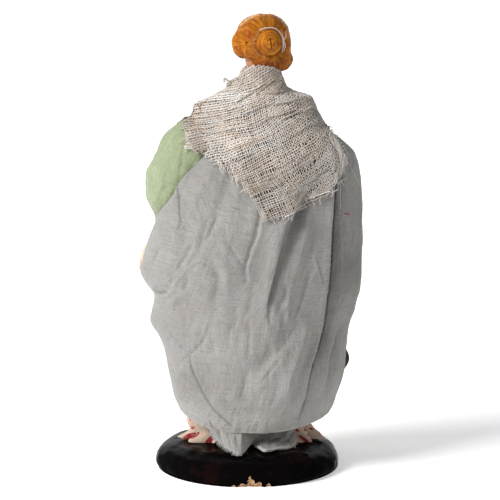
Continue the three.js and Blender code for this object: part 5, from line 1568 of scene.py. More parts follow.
                # the cloth is packed closer over her left shoulder and round the neck
                close = step(-3, 8, q[:, 0]) * step(102, 108, q[:, 2]) + step(120, 126, q[:, 2])
                r = r * (1 + (0.66 if kind == "weft" else 0.06) * np.clip(close, 0, 1) + 0.14 * noise(q[:, 0] * 0.22, q[:, 2] * 0.22, seed=76) + 0.20 * noise(q[:, 0] * 0.80, q[:, 2] * 0.80, seed=66))
                r = r * (1 - 0.45 * step(0, 2, over))
                m = sh.mid(zz[ss])
                up = np.stack([q[:, 0] - m, q[:, 1], np.full(n, 2.0)], -1)
                up /= np.linalg.norm(up, axis=1, keepdims=True)
                keep = slice(None, None, 1)
                paths.append(q[keep])
                radii.append(r[keep])
                ups.append(up[keep])
                vary = level * (1 + 0.10 * noise(long[ss] * 0.35, np.full(n, k * 4.4), seed=89))
                aa, bb = a[ss], b[ss]
                # painted shade: on her right, away from the light, the threads are cooler grey and 5% darker
                right = step(-16, -28, q[:, 0])
                pick = np.clip(0.37 + 0.5 * right + mixed + 0.60 * noise(aa * 0.055 + 3, bb * 0.95, seed=70) + 0.35 * noise(aa * 0.24, bb * 0.30, seed=69), 0, 1)[:, None]
                red = np.clip(1.6 * noise(aa * 0.12 + 9, bb * 0.5 + 2, seed=68) - 0.75, 0, 1)[:, None]
                tone = warm * (1 - pick) + cool * pick
                tone = (tone * (1 - red) + brown_tone * red) * (1 - 0.05 * right[:, None])
                # painted shade: the threads are darker over her left shoulder, at the top of the collar, towards the
                # lower edge and on her right; painted light in the middle of the back
                wear_and_painted_light = 0.20 * step(5, 13, q[:, 0]) * step(103, 108, q[:, 2]) * step(123, 118, q[:, 2]) + 0.20 * step(123, 127, q[:, 2])
                wear_and_painted_light = wear_and_painted_light + 0.12 * step(108, 98, q[:, 2]) + 0.22 * step(-17, -26, q[:, 0]) * step(103, 110, q[:, 2]) - 0.11 * np.exp(-(((q[:, 0] + 4) / 9) ** 2) - ((q[:, 2] - 110) / 8) ** 2)
                tone = tone * (1 - wear_and_painted_light)[:, None]
                cols.append(np.repeat((tone * vary[:, None])[keep], 4, 0))
        V, F = tubes(paths, radii, 4, flat=0.85, ups=ups)
        print("shawl", kind, len(F) * 2, "triangles")
        return make("shawl_" + kind, V, F, M["threads"], tint=np.vstack(cols))

    def on_back(x, z, lift=0.0):
        """Points of the back of the shawl's surface under given x and z."""
        x, z = np.asarray(x, float), np.asarray(z, float)
        phi = np.full(x.shape, 90.0)
        for _ in range(30):
            p = sh.point(phi, z)
            phi = np.clip(phi + (p[..., 0] - x) * 2.2, 8, 176)
        return sh.point(phi, z, lift)

    # loose threads, the bunched selvedge on her right and the brown edging thread on her left
    rng = np.random.default_rng(5)
    paths, radii, cols = [], [], []

    def strand(pts, r, colour, lift=0.35, wave=0.25, n=60, seed=0):
        line = smooth_line(pts, n)
        t = np.linspace(0, 1, len(line))
        x = line[:, 0] + wave * noise(t * 9, t * 0 + seed * 3.1, seed=100)
        z = line[:, 1] + wave * noise(t * 9, t * 0 + seed * 5.3, seed=101)
        p = on_back(x, z, lift + 0.12 * noise(t * 14, t * 0 + seed, seed=102))
        paths.append(p)
        radii.append(r * (1 + 0.2 * noise(t * 30, t * 0 + seed, seed=103)))
        cols.append(np.repeat(np.tile(np.asarray(colour, float), (len(p), 1)), 4, 0))

    cream, white, grey, brown = (0.76, 0.68, 0.59), (0.84, 0.82, 0.79), (0.62, 0.60, 0.57), (0.48, 0.24, 0.09)
    for k in range(11):
        o = -0.1 + 0.22 * k + rng.normal(0, 0.12)
        drop = rng.uniform(0, 1)
        pts = [(-27.4 + 0.6 * o, 111.4 - drop), (-28.8 + o, 108.8), (-30.6 + o, 106.0), (-31.5 + o, 103.4), (-31.0 + o, 100.8), (-29.8 + o, 98.2), (-28.2 + 0.8 * o, 95.6 + 0.3 * o)]
        strand(pts[: rng.integers(4, 8)] if k % 3 else pts, rng.uniform(0.07, 0.13), (grey, cream, (0.62, 0.55, 0.47))[k % 3], 0.24 + 0.05 * (k % 4), 0.34, 90, k)
    strand([(12.9, 122.1), (13.8, 121.3), (15.0, 120.7), (15.2, 119.6), (15.0, 118.1)], 0.17, brown, 0.40, 0.10, 50, 20)
    strand([(15.6, 117.6), (15.8, 115.3), (15.3, 113.9), (14.7, 112.2)], 0.13, (0.66, 0.42, 0.24), 0.36, 0.12, 40, 21)
    strand([(12.6, 121.4), (13.1, 119.6), (12.8, 116.9)], 0.11, white, 0.42, 0.12, 40, 22)
    strand([(16.0, 113.4), (15.6, 112.0), (15.0, 110.6)], 0.12, white, 0.42, 0.12, 30, 26)
    # the firm edge thread along the lower right side
    strand([(-11.6, 86.5), (-13.2, 87.0), (-15.4, 88.0), (-17.7, 89.4), (-19.0, 90.6), (-20.6, 91.8), (-22.9, 92.8), (-26.0, 93.7)], 0.17, white, 0.30, 0.14, 80, 23)
    strand([(-13.6, 87.3), (-16.4, 89.2), (-18.6, 91.0), (-21.4, 93.0)], 0.11, cream, 0.34, 0.16, 60, 24)
    strand([(0.6, 95.2), (-1.4, 94.3), (-3.0, 93.0)], 0.09, cream, 0.36, 0.2, 30, 25)
    for k in range(5):
        x0 = -4.4 - 0.45 * k
        strand([(x0, 88.0), (x0 - 0.25 * (1 - k / 2), 86.6), (-5.3 - 0.28 * k, 84.9 + 0.3 * abs(k - 2))], 0.085, (grey, cream)[k % 2], 0.22 + 0.03 * k, 0.16, 24, 40 + k)
    # the twisted end of the selvedge that sticks out beside her neck
    strand([(6.0, 128.4), (6.9, 127.7), (6.6, 126.6), (5.6, 126.9), (5.2, 127.6)], 0.20, (0.30, 0.26, 0.22), 0.45, 0.10, 40, 50)
    strand([(5.6, 128.6), (6.3, 128.9), (6.5, 128.1), (6.0, 127.3)], 0.14, cream, 0.60, 0.10, 30, 51)
    root = on_back([5.4], [127.3])[0]
    for k, (r, colour) in enumerate(((0.22, grey), (0.20, (0.42, 0.36, 0.30)), (0.17, cream))):
        line = smooth_line([(0.0, 0.0), (1.0, 0.8), (1.7, 1.7), (2.4, 1.5), (2.3, 0.7)], 28)
        t = np.linspace(0, 1, len(line))
        turn = 2 * np.pi * (1.6 * t + k / 3)
        p = root + np.stack([line[:, 0], 0.7 + 0.3 * t, line[:, 1]], -1)
        p = p + 0.22 * np.stack([np.cos(turn), np.sin(turn), 0.5 * np.sin(turn)], -1)
        paths.append(p)
        radii.append(np.full(len(line), r))
        cols.append(np.repeat(np.tile(np.asarray(colour, float), (len(line), 1)), 4, 0))
    # stray ends that stand off her left shoulder
    for k in range(26):
        z0 = rng.uniform(105.6, 112.6)
        x0 = float(np.interp(z0, [105.2, 107.9, 112.0, 114.4], [13.0, 17.0, 18.9, 19.6])) - 0.3
        L = rng.uniform(0.8, 2.6)
        strand([(x0 - 0.6, z0 + 0.1), (x0 + 0.4 * L, z0 - 0.15 * L), (x0 + 0.75 * L, z0 - rng.uniform(0.2, 0.75) * L)], rng.uniform(0.06, 0.10), (white, cream)[k % 2], 0.25, 0.22, 16, 60 + k)
    V, F = tubes(paths, radii, 4)
    loose = make("shawl_loose_threads", V, F, M["threads"], tint=np.vstack(cols))
    return under, run("weft"), run("warp"), loose


# ------------------------------------------------------------------ head


def smin(a, b, k):
    h = np.clip(0.5 + 0.5 * (b - a) / k, 0, 1)
    return b * (1 - h) + a * h - k * h * (1 - h)


def ell(p, c, r):
    """Rough distance to an ellipsoid."""
    q = (p - np.asarray(c)) / np.asarray(r)
    k0 = np.linalg.norm(q, axis=-1)
    k1 = np.linalg.norm(q / np.asarray(r), axis=-1)
    return k0 * (k0 - 1.0) / np.maximum(k1, 1e-6)


def cap(p, a, b, ra, rb=None):
    rb = ra if rb is None else rb
    a, b = np.asarray(a, float), np.asarray(b, float)
    ab = b - a
    t = np.clip(((p - a) @ ab) / (ab @ ab), 0, 1)
    return np.linalg.norm(p - a - t[..., None] * ab, axis=-1) - (ra + (rb - ra) * t)


HEAD_C = np.array([-4.7, -0.4, 140.2])
TURN, ROLL = math.radians(12), math.radians(8)


def head_matrix():
    cr, sr = math.cos(ROLL), math.sin(ROLL)
    ct, st = math.cos(TURN), math.sin(TURN)
    roll = np.array([[cr, 0, sr], [0, 1, 0], [-sr, 0, cr]])
    turn = np.array([[ct, -st, 0], [st, ct, 0], [0, 0, 1]])
    return turn @ roll


def make_head():
    h = 0.21
    lo = np.array([-14.0, -13.5, -21.0])
    hi = np.array([13.5, 14.5, 12.0])
    n = np.ceil((hi - lo) / h).astype(int)
    ax = [lo[k] + h * np.arange(n[k]) for k in range(3)]
    P = np.stack(np.meshgrid(*ax, indexing="ij"), -1).astype(np.float32)
    # the neck and jaw, then the features; the face looks along -Y
    skull = ell(P, (0, -0.6, 1.0), (6.7, 7.6, 8.0))
    face = ell(P, (0, -3.0, -2.6), (5.5, 5.9, 7.4))
    face = smin(face, ell(P, (0, -4.6, -6.2), (3.5, 3.5, 3.6)), 2.2)
    chin = ell(P, (0, -7.3, -8.1), (1.7, 1.4, 1.3))
    face = smin(face, chin, 1.6)
    for sx in (-1, 1):
        face = smin(face, ell(P, (sx * 3.0, -6.3, -3.4), (2.0, 1.8, 2.0)), 1.5)
    flesh = smin(skull, face, 1.6)
    for sx in (-1, 1):
        flesh = -smin(-flesh, ell(P, (sx * 2.15, -9.0, -0.35), (1.6, 1.15, 0.95)), 0.8)
        flesh = smin(flesh, ell(P, (sx * 2.1, -7.55, -0.45), (1.15, 0.75, 0.72)), 0.22)
        flesh = smin(flesh, cap(P, (sx * 0.9, -8.55, 1.05), (sx * 3.4, -7.6, 1.15), 0.35, 0.2), 0.8)
    nose = cap(P, (0, -8.35, 0.8), (0, -9.75, -2.7), 0.42, 0.72)
    nose = smin(nose, ell(P, (0, -9.55, -2.9), (0.8, 0.75, 0.62)), 0.4)
    for sx in (-1, 1):
        nose = smin(nose, ell(P, (sx * 0.78, -8.95, -3.05), (0.5, 0.62, 0.45)), 0.35)
    flesh = smin(flesh, nose, 0.55)
    flesh = smin(flesh, cap(P, (-0.95, -8.75, -4.95), (0.95, -8.75, -4.95), 0.34), 0.35)
    flesh = smin(flesh, cap(P, (-0.75, -8.70, -5.65), (0.75, -8.70, -5.65), 0.42), 0.35)
    flesh = np.maximum(flesh, -(cap(P, (-1.25, -9.25, -5.28), (1.25, -9.25, -5.28), 0.16)))
    neck = cap(P, (0.5, 0.3, -4), (0.7, 0.4, -20.0), 4.9, 5.1)
    neck = smin(neck, ell(P, (3.7, -1.6, -6.2), (2.0, 3.0, 2.4)), 1.6)
    flesh = smin(flesh, neck, 2.0)
    # hair: crown, rolls over both ears, gathered nape, bun
    hair = smin(ell(P, (-0.2, 1.0, 2.6), (8.3, 7.9, 6.9)), ell(P, (1.2, 3.6, 3.4), (6.0, 5.6, 5.4)), 1.0)
    hair = smin(hair, ell(P, (0.0, -2.1, 4.3), (7.2, 6.8, 4.9)), 0.8)
    lobe = smin(ell(P, (6.6, 0.8, 0.7), (3.5, 4.7, 4.7)), ell(P, (4.8, 4.2, -0.8), (3.2, 3.2, 3.6)), 1.2)
    hair = smin(hair, lobe, 1.1)
    hair = smin(hair, ell(P, (-6.5, 1.0, -0.2), (2.4, 5.2, 7.0)), 1.0)
    hair = smin(hair, ell(P, (-6.3, 2.2, -6.4), (2.5, 2.9, 2.3)), 1.2)
    hair = smin(hair, ell(P, (-4.6, 3.4, -7.0), (3.4, 3.0, 2.6)), 1.0)
    hair = smin(hair, ell(P, (-1.0, 4.5, -4.8), (6.2, 3.2, 3.6)), 1.2)
    bun_c = np.array([-0.5, 8.3, 0.6])
    q = P - bun_c
    rb = np.hypot(q[..., 0], q[..., 2])
    ab = np.arctan2(q[..., 2], q[..., 0])
    bun = ell(P, bun_c, (4.15, 3.1, 4.25))
    # strands, as lines where a stretched noise passes through nought: round the bun, and running in to it elsewhere
    warp = noise(P[..., 0] * 0.3, P[..., 1] * 0.3, P[..., 2] * 0.3, seed=91)
    ring_n = noise(rb * 1.5 + 0.5 * warp, ab * 0.45 + 9, 0.0 * rb, seed=92)
    ring_c = 0.6 * noise(rb * 2.6 + 0.8 * warp, ab * 0.6 + 9, 0.0 * rb, seed=78) + 0.4 * noise(rb * 4.6 + 0.8 * warp, ab * 1.3 + 5, 0.0 * rb, seed=79)
    ring_l = np.exp(-((ring_n / 0.10) ** 2))
    slit = np.exp(-((q[..., 0] / 0.20) ** 2)) * step(2.1, 1.2, np.abs(q[..., 2] + 0.1)) * step(0, 1, q[..., 1])
    slit2 = np.exp(-(((q[..., 0] - 0.9) / 0.14) ** 2)) * step(1.9, 1.0, np.abs(q[..., 2] - 0.5)) * step(0, 1, q[..., 1])
    cheek = np.exp(-(((rb - 3.35) / 0.16) ** 2)) * step(-0.2, 0.6, np.cos(ab - 0.3))
    bun_line = np.clip(0.55 * ring_l * step(0.8, 1.6, rb) + 0.8 * cheek, 0, 1)
    bun = bun + 0.07 * bun_line + 0.07 * ring_c + 0.50 * slit + 0.28 * slit2 - 0.15 * np.exp(-(((q[..., 0] - 0.45) / 0.22) ** 2)) * step(2.2, 1.0, np.abs(q[..., 2]))
    rl = np.hypot(P[..., 0] - 6.6, P[..., 2] - 1.2)
    al = np.arctan2(P[..., 2] - 1.2, P[..., 0] - 6.6)
    near = step(4.6, 3.2, rl) * (P[..., 0] > 2)
    run1 = noise(ab * 7.5 + 1.2 * warp, rb * 0.16, P[..., 1] * 0.10, seed=93)
    run2 = noise(ab * 15 + 2.0 * warp, rb * 0.30, P[..., 1] * 0.16, seed=94)
    lob = noise(al * 3.2 + 1.0 * warp, rl * 0.35, P[..., 1] * 0.12, seed=96)
    line1 = np.exp(-((run1 / 0.07) ** 2)) * (1 - near) + np.exp(-((lob / 0.08) ** 2)) * near
    line2 = np.exp(-((run2 / 0.09) ** 2)) * (1 - 0.6 * near)
    dip = np.exp(-(((P[..., 0] - 6.2) / 0.42) ** 2) - ((P[..., 2] - 1.5) / 0.36) ** 2) * (P[..., 1] > 0)
    out_of_bun = step(4.0, 4.9, rb)
    comb = 0.30 * noise(ab * 9 + 1.8 * warp, rb * 0.22, P[..., 1] * 0.12, seed=81) + 0.45 * noise(ab * 19 + 3.0 * warp, rb * 0.34, P[..., 1] * 0.15, seed=82)
    comb = comb + 0.40 * noise(ab * 34 + 3.0 * warp, rb * 0.55, P[..., 1] * 0.2, seed=75)
    swirl = 0.35 * noise(al * 4.5 + 1.5 * warp, rl * 0.45, P[..., 1] * 0.12, seed=77) + 0.5 * noise(al * 10.0 + 2.5 * warp, rl * 0.8, P[..., 1] * 0.2, seed=72)
    strand = comb * (1 - near) + swirl * near
    deep = (0.10 * line1 + 0.07 * line2 + 0.11 * strand) * out_of_bun + 0.5 * dip
    parted = np.exp(-(((P[..., 0] - 0.3) / 0.35) ** 2)) * step(0, 4, P[..., 2]) * step(2.5, -1.0, P[..., 1])
    swell = 0.22 * noise(P[..., 0] * 0.5, P[..., 1] * 0.5, P[..., 2] * 0.5, seed=97)
    hair = hair + deep + 0.45 * parted - swell
    # the hairline leaves the face open
    open_face = ell(P, (0, -9.3, -2.9), (5.1, 5.6, 8.2))
    hair = -smin(-hair, open_face, 0.8)
    hair = np.maximum(hair, -(P[..., 2] + 9.6))
    hair = hair + 0.18 * np.exp(-(((rb - 4.4) / 0.28) ** 2)) * step(3.0, 6.0, P[..., 1])
    hair = smin(hair, bun, 0.45)
    solid = np.minimum(np.minimum(flesh, hair), 9.0)
    field = np.maximum(solid, -(P[..., 2] + 19.6))
    pts, quads = surface_nets(field, lo, h)
    # which paint each point takes
    Q = pts

    def at(F):
        g = (Q - lo) / h
        i = np.clip(np.round(g).astype(int), 0, np.array(F.shape) - 1)
        return F[i[:, 0], i[:, 1], i[:, 2]]

    df, dh = at(flesh), at(hair)
    skin = np.array([0.56, 0.27, 0.155])
    hair_mid, hair_dark, hair_light = np.array([0.38, 0.122, 0.008]), np.array([0.12, 0.024, 0.003]), np.array([0.58, 0.225, 0.030])
    rbq, lines = at(rb), np.clip(at(line1) * 0.75 + at(line2) * 0.4, 0, 1)
    lines = np.where(rbq < 4.2, at(bun_line) * 0.75, lines)
    tone = 0.5 + 0.45 * noise(Q[:, 0] * 0.9, Q[:, 1] * 0.9, Q[:, 2] * 0.9, seed=95) + 0.25 * noise(Q[:, 0] * 3.1, Q[:, 1] * 3.1, Q[:, 2] * 3.1, seed=98)
    st = np.where(rbq < 4.2, at(ring_c), at(strand))
    tone = np.clip(tone - 1.7 * st, 0, 1)[:, None]
    hcol = hair_mid * 0.82 * (1 - tone) + (0.45 * hair_mid + 0.55 * hair_light) * tone
    # darker along the strand lines and grooves; painted shade in the slits of the bun, the dip in the side roll and the
    # groove round the bun, deeper on her right
    dark = np.clip(0.80 * lines + 0.85 * np.clip(st - 0.14, 0, 1) + 0.9 * at(slit) + 0.7 * at(slit2) + 0.8 * at(dip) + (0.30 + 0.35 * (Q[:, 0] < 0)) * np.exp(-(((rbq - 4.38) / 0.24) ** 2)) * (Q[:, 1] > 4), 0, 1)[:, None]
    hcol = hcol * (1 - dark) + (0.35 * hair_mid + 0.65 * hair_dark) * dark
    low = (step(-3.6, -7.0, Q[:, 2]) * step(-7.5, -2.5, Q[:, 0]))[:, None]
    low = low * np.clip(0.8 + 0.7 * st, 0.2, 1)[:, None]
    hcol = hcol * (1 - 0.8 * low) + np.array([0.10, 0.018, 0.003]) * 0.8 * low
    # redder paint beside the bun, at the nape and in patches
    behind = step(-1.0, 2.0, Q[:, 1])
    red = 0.75 * np.exp(-(((Q[:, 0] - 5.2) / 1.2) ** 2) - ((Q[:, 2] - 4.4) / 3.2) ** 2) + 0.85 * np.exp(-(((Q[:, 0] - 3.2) / 2.8) ** 2) - ((Q[:, 2] + 6.0) / 1.7) ** 2)
    red = red * behind + 0.72 * np.clip(2.2 * noise(Q[:, 0] * 0.62 + 4, Q[:, 1] * 0.62, Q[:, 2] * 0.62, seed=64) - 0.35, 0, 1)
    red = np.clip(red * (0.85 + 1.2 * st), 0, 1)[:, None]
    hcol = hcol * (1 - red) + np.array([0.235, 0.050, 0.006]) * red
    nape = 0.62 * np.exp(-(((Q[:, 2] + 6.6 + 0.14 * Q[:, 0]) / 1.25) ** 2)) * step(6.4, 4.0, np.abs(Q[:, 0] + 0.4)) * behind * np.clip(0.75 + 1.6 * st, 0, 1.5)
    nape = np.clip(nape, 0, 0.9)[:, None]
    hcol = hcol * (1 - nape) + np.array([0.125, 0.026, 0.004]) * nape
    # painted highlights: pale strokes over the crown, down her right side and round the outside of the bun, and pale
    # patches low on her right side
    rim = np.clip(step(5.5, 8.6, Q[:, 2]) * step(5.0, 1.0, Q[:, 1]) + step(5.6, 7.0, -Q[:, 0]) * step(6.0, 3.0, Q[:, 1]) * step(-7, -3, Q[:, 2]), 0, 1)
    rim = rim * step(-3.5, 0.5, Q[:, 1])
    painted_highlight = np.clip(0.60 - 1.8 * st, 0, 1) * (1.0 * rim + 0.35 * np.exp(-(((rbq - 4.9) / 0.3) ** 2)) * (Q[:, 1] > 3) * step(-1, 2, Q[:, 0]))
    hcol = hcol * (1 - painted_highlight[:, None]) + np.array([0.72, 0.46, 0.24]) * painted_highlight[:, None]
    painted_rim_highlight = step(5.9, 7.2, -Q[:, 0]) * step(6.0, 3.0, Q[:, 1]) * step(-3.0, 0.0, Q[:, 1]) * step(-5.5, -2.5, Q[:, 2]) * np.clip(0.42 + 2.2 * noise(Q[:, 0] * 1.2, Q[:, 1] * 1.2, Q[:, 2] * 0.45, seed=57), 0, 1)
    painted_rim_highlight = 0.8 * painted_rim_highlight[:, None]
    hcol = hcol * (1 - painted_rim_highlight) + np.array([0.76, 0.55, 0.38]) * painted_rim_highlight
    col = np.where((dh < df)[:, None], hcol, skin)
    # painted face
    X, Y, Zq = Q[:, 0], Q[:, 1], Q[:, 2]
    front = (Y < -5) & (dh >= df)

    def paint(mask, c, w=1.0):
        w = (np.clip(mask, 0, 1) * w)[:, None]
        col[:] = col * (1 - w) + np.asarray(c) * w

    for sx in (-1, 1):
        paint(front * np.exp(-(((X - sx * 3.3) / 1.5) ** 2) - ((Zq + 3.0) / 1.3) ** 2), (0.72, 0.24, 0.16), 0.45)
        eye = (((X - sx * 2.1) / 0.98) ** 2 + ((Zq + 0.48) / 0.42) ** 2) < 1
        paint((front & eye).astype(float), (0.66, 0.58, 0.52))
        iris = ((X - sx * 2.1) ** 2 + (Zq + 0.44) ** 2) < 0.42**2
        paint((front & iris).astype(float), (0.05, 0.025, 0.012))
        lid = (np.abs(((X - sx * 2.1) / 1.02) ** 2 + ((Zq + 0.45) / 0.5) ** 2 - 1.1) < 0.22) & (Zq > -0.35)
        paint((front & lid).astype(float), (0.16, 0.06, 0.03), 0.9)
        brow = np.abs(Zq - 1.35 - 0.35 * np.cos((X - sx * 2.3) * 1.1)) < 0.16
        paint((front & brow & (np.abs(X - sx * 2.3) < 1.5)).astype(float), (0.25, 0.09, 0.03), 0.9)
    lips = (((X) / 1.35) ** 2 + ((Zq + 5.3) / 0.72) ** 2) < 1
    paint((front & lips & (Y < -8.3)).astype(float), (0.52, 0.09, 0.07), 0.9)
    T = head_matrix()
    head = make("painted_head", Q @ T.T + HEAD_C, quads, M["hair"], tint=col)
    # the cream ribbon painted in relief round the bun, and its loose end
    tree = tree_of(head)
    paths, radii, cols, ups = [], [], [], []
    for pts, r in (
        ([(3.0, 4.5), (0.8, 4.8), (-1.8, 4.5), (-3.5, 3.3), (-4.6, 1.4), (-5.0, 0.0)], 0.24),
        ([(-4.3, 2.2), (-4.9, 0.6), (-5.1, -0.7), (-4.9, -2.2), (-3.9, -4.2)], 0.42),
        ([(-5.0, 0.4), (-5.4, -0.9), (-5.5, -2.4), (-4.6, -4.0)], 0.22),
        ([(-5.0, -0.4), (-5.7, 0.3), (-6.2, 1.4), (-6.5, 2.9)], 0.24),
    ):
        line = smooth_line(pts, 70)
        p = []
        for x, z in line + bun_c[[0, 2]]:
            w = T @ np.array([x, 0, z]) + HEAD_C
            hit = tree.ray_cast(Vector((w[0] - 25 * T[0, 1] * -1, w[1] + 25 * T[1, 1], w[2])), Vector((-T[0, 1], -T[1, 1], 0)), 60)
            if hit[0] is not None:
                p.append(np.concatenate([np.array(hit[0]) + 0.04 * np.array(hit[1]), np.array(hit[1])]))
        p = np.array(p)
        p = np.stack([np.convolve(np.pad(p[:, k], 2, mode="edge"), np.ones(5) / 5, "valid") for k in range(6)], -1)
        ups.append(p[:, 3:] / np.linalg.norm(p[:, 3:], axis=1, keepdims=True))
        p = p[:, :3]
        t = np.linspace(0, 1, len(p))
        paths.append(p)
        radii.append(r * (0.55 + 0.45 * np.sin(np.pi * np.clip(t * 1.05, 0, 1)) ** 0.5) * (1 + 0.15 * noise(t * 12, t * 0, seed=99)))
        cols.append(np.repeat(np.tile([0.62, 0.55, 0.47], (len(p), 1)), 8, 0))
    V, F = tubes(paths, radii, 8, flat=0.5, ups=ups)
    band = make("painted_ribbon", V, F, M["hair"], tint=np.vstack(cols))
    band.parent = head
    return head


# ------------------------------------------------------------------ hands


def make_hand(name, at, out, palm, side):
    at, o = np.asarray(at, float), np.asarray(out, float)
    o /= np.linalg.norm(o)
    p = np.asarray(palm, float)
    p = p - (p @ o) * o
    p /= np.linalg.norm(p)
    w = np.cross(o, p) * side
    h = 0.13
    lo, hi = np.array([-2.6, -4.2, -2.6]), np.array([9.6, 4.2, 4.2])
    n = np.ceil((hi - lo) / h).astype(int)
    ax = [lo[k] + h * np.arange(n[k]) for k in range(3)]
    P = np.stack(np.meshgrid(*ax, indexing="ij"), -1)
    d = cap(P, (-1.6, 0, 0), (1.8, 0, 0), 1.35, 1.45)
    d = smin(d, cap(P, (2.2, 0.8, 0), (4.3, 1.0, 0.1), 1.05, 0.95), 0.8)
    d = smin(d, cap(P, (2.2, -0.8, 0), (4.2, -1.0, 0.1), 1.05, 0.9), 0.8)
    for k in range(4):
        b = 1.45 - 0.97 * k
        L = (2.8, 3.3, 3.0, 2.3)[k]
        c1 = (4.2 + 0.62 * L, b * 1.08, 0.35)
        c2 = (4.2 + L, b * 1.1, 1.45)
        f = smin(cap(P, (4.0, b, 0.1), c1, 0.56, 0.5), cap(P, c1, c2, 0.5, 0.42), 0.12)
        d = smin(d, f, 0.22)
    thumb = smin(cap(P, (1.6, 1.2, 0.3), (3.1, 2.3, 0.9), 0.75, 0.6), cap(P, (3.1, 2.3, 0.9), (4.6, 2.6, 1.9), 0.58, 0.45), 0.2)
    d = smin(d, thumb, 0.4)
    pts, quads = surface_nets(d, lo, h)
    W = at + pts[:, :1] * o + pts[:, 1:2] * w + pts[:, 2:3] * p
    if side < 0:
        quads = quads[:, ::-1]
    tip = step(6.0, 7.4, pts[:, 0])[:, None]
    col = np.array([0.74, 0.50, 0.35]) * (1 - 0.0 * tip) + np.array([0.04, -0.06, -0.05]) * tip
    return make(name, W, quads, M["skin"], tint=col)


# ------------------------------------------------------------------ assemble
base = make_base()
skirt = make_skirt()
torso = make_torso()
sleeve_l = make_sleeve("dress_left_sleeve", LEFT_ARM, SLEEVE_FOLDS, 33)
sleeve_r = make_sleeve("dress_right_sleeve", RIGHT_ARM, [], 37, 130, 170)
apron = make_apron()
hand_l = make_hand("left_hand_clay", (33.6, -8.9, 70.6), (0.35, -0.28, -0.89), (-0.9, 0.3, -0.2), 1)
hand_r = make_hand("right_hand_clay", (-23.5, -18.0, 70.5), (0.5, -0.75, -0.28), (-0.45, -0.1, -0.9), -1)
head = make_head()
mantle = make_mantle(tree_of(skirt, torso, sleeve_l, sleeve_r))
shawl_shape = Shawl(tree_of(mantle, torso, sleeve_l, sleeve_r))
under, weft, warp, loose = make_shawl(shawl_shape)
corner = make_corner()


def make_strays(sheet):
    """A few loose fibres that lie on the mantle: two pale ones, a red snippet and a red speck."""
    tree = tree_of(sheet)
    paths, radii, cols = [], [], []
    for pts, r, col, wave in (
        ([(-29.8, 99.4), (-29.8, 93.7), (-29.9, 87.0)], 0.10, (0.62, 0.62, 0.60), 0.05),
        ([(-32.0, 102.6), (-33.7, 99.6), (-35.3, 96.4), (-36.6, 93.8)], 0.09, (0.56, 0.55, 0.53), 0.05),
        ([(-24.2, 93.4), (-22.4, 91.2), (-21.5, 89.0)], 0.07, (0.58, 0.57, 0.55), 0.10),
        ([(-31.2, 85.5), (-32.0, 85.3), (-33.1, 84.9)], 0.15, (0.42, 0.015, 0.012), 0.04),
        ([(-26.6, 94.1), (-27.0, 93.8), (-27.2, 93.9)], 0.20, (0.40, 0.03, 0.05), 0.05),
        ([(-26.2, 92.6), (-26.9, 92.4)], 0.08, (0.45, 0.10, 0.12), 0.05),
    ):
        line = smooth_line(pts, 24)
        t = np.linspace(0, 1, len(line))
        p = []
        for (x, z), w in zip(line, noise(t * 7, 0 * t + r * 90, seed=130)):
            hit = tree.ray_cast(Vector((x + wave * w, 70.0, z)), Vector((0, -1, 0)), 120)
            if hit[0] is not None:
                p.append(np.array(hit[0]) + (0.5 * r + 0.03) * np.array(hit[1]))
        if len(p) < 2:
            continue
        paths.append(np.array(p))
        radii.append(r * (1 + 0.2 * noise(np.linspace(0, 9, len(p)), np.zeros(len(p)) + r, seed=131)))
        cols.append(np.repeat(np.tile(np.asarray(col, float), (len(p), 1)), 5, 0))
    V, F = tubes(paths, radii, 5)
    ob = make("mantle_stray_threads", V, F, M["threads"], tint=np.vstack(cols))
    ob.parent = sheet
    return ob


make_strays(mantle)


def scene_pieces():
    """The meshes made here, largest first."""
    own = [o for o in bpy.context.scene.objects if o.type == "MESH" and not o.hide_render and "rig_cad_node" not in o]
    return sorted(own, key=lambda o: -len(o.data.polygons))


for ob, node, slot in (
    (base, "base", "black_paint"),
    (skirt, "skirt", "printed_cotton"),
    (torso, "dress", "green_cotton"),
    (sleeve_l, "dress", "green_cotton"),
    (sleeve_r, "dress", "green_cotton"),
    (apron, "apron", "olive_cotton"),
    (mantle, "mantle", "grey_linen"),
    (under, "shawl", "gauze"),
    (weft, "shawl", "gauze"),
    (warp, "shawl", "gauze"),
    (loose, "shawl", "gauze"),
    (corner, "mantle", "grey_linen"),
    (head, "head", "painted_hair"),
    (hand_l, "left_hand", "painted_skin"),
    (hand_r, "right_hand", "painted_skin"),
):
    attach(ob, "root")
    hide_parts(node)

# size of each piece made here: triangles and area in mm2
for ob in scene_pieces():
    print("size", ob.name, sum(len(p.vertices) - 2 for p in ob.data.polygons), "triangles", round(sum(p.area for p in ob.data.polygons) * 1e6), "mm2")

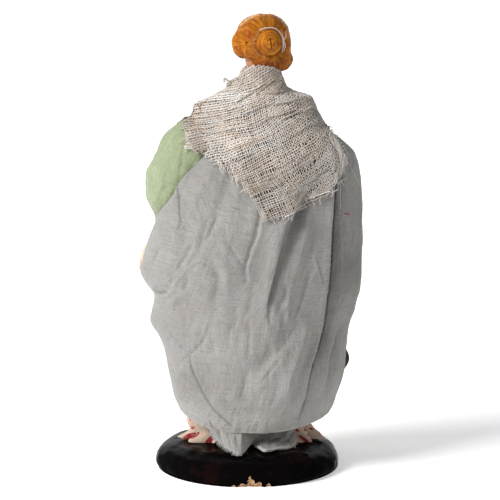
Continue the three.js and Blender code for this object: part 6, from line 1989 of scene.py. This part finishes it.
# ------------------------------------------------------------------ floor, light and camera
floor_mesh = bpy.data.meshes.new("floor")
floor_mesh.from_pydata([(-9, -9, 0), (9, -9, 0), (9, 9, 0), (-9, 9, 0)], [], [(0, 1, 2, 3)])
floor = bpy.data.objects.new("floor", floor_mesh)
bpy.context.scene.collection.objects.link(floor)
fn = Nodes("floor_white")
fn.done(fn.mix(fn.noise(fn.coords(), 3.0, 2), (0.95, 0.95, 0.95), (0.97, 0.97, 0.97)), 0.8, Specular_IOR_Level=0.0, Emission_Color=(1, 1, 1, 1), Emission_Strength=0.36)
floor_mesh.materials.append(fn.mat)
floor.visible_glossy = False

scene = bpy.context.scene
world = bpy.data.worlds.new("soft")
scene.world = world
world.use_nodes = True
bg = world.node_tree.nodes["Background"]
bg.inputs[0].default_value = (1, 1, 1, 1)
bg.inputs[1].default_value = 0.22


def sun(name, azimuth, height, power, angle):
    """A soft distant light. Azimuth 0 is straight behind the figure, and it grows towards her left."""
    d = bpy.data.lights.new(name, "SUN")
    d.energy = power
    d.angle = math.radians(angle)
    o = bpy.data.objects.new(name, d)
    az, el = math.radians(azimuth), math.radians(height)
    way = Vector((math.sin(az) * math.cos(el), math.cos(az) * math.cos(el), math.sin(el)))
    o.rotation_euler = way.to_track_quat("Z", "Y").to_euler()
    scene.collection.objects.link(o)
    return o


key = sun("key", 60, 33, 3.98, 26)
key.visible_glossy = False
sun("fill", -45, 20, 0.05, 80)


def softbox(name, azimuth, height, far, size, power):
    d = bpy.data.lights.new(name, "AREA")
    d.energy = power
    d.size = size
    az, el = math.radians(azimuth), math.radians(height)
    o = bpy.data.objects.new(name, d)
    way = Vector((math.sin(az) * math.cos(el), math.cos(az) * math.cos(el), math.sin(el)))
    o.location = Vector((0, 0, 0.07)) + way * far
    o.rotation_euler = way.to_track_quat("Z", "Y").to_euler()
    scene.collection.objects.link(o)
    return o


for side in (softbox("side_left", 96, 26, 1.1, 0.35, 1.6), softbox("side_right", -100, 22, 1.1, 0.35, 0.7)):
    side.visible_glossy = False
# a large soft panel beyond the figure gives the pale rims of paint and hair; the camera itself doesn't see it
panel = softbox("back_panel", 180, 14, 1.2, 1.5, 4.2)
panel.visible_camera = False

cam_data = bpy.data.cameras.new("camera")
cam_data.sensor_width = 36
cam_data.lens = 36 * 2159 / 500
cam_data.clip_start = 0.05
cam_data.clip_end = 20
cam = bpy.data.objects.new("camera", cam_data)
cam.location = (-0.00066, 0.700, 0.191)
cam.rotation_euler = (math.radians(90 - 9.63), 0, math.radians(180))
scene.collection.objects.link(cam)
scene.camera = cam
scene.view_settings.view_transform = "Standard"
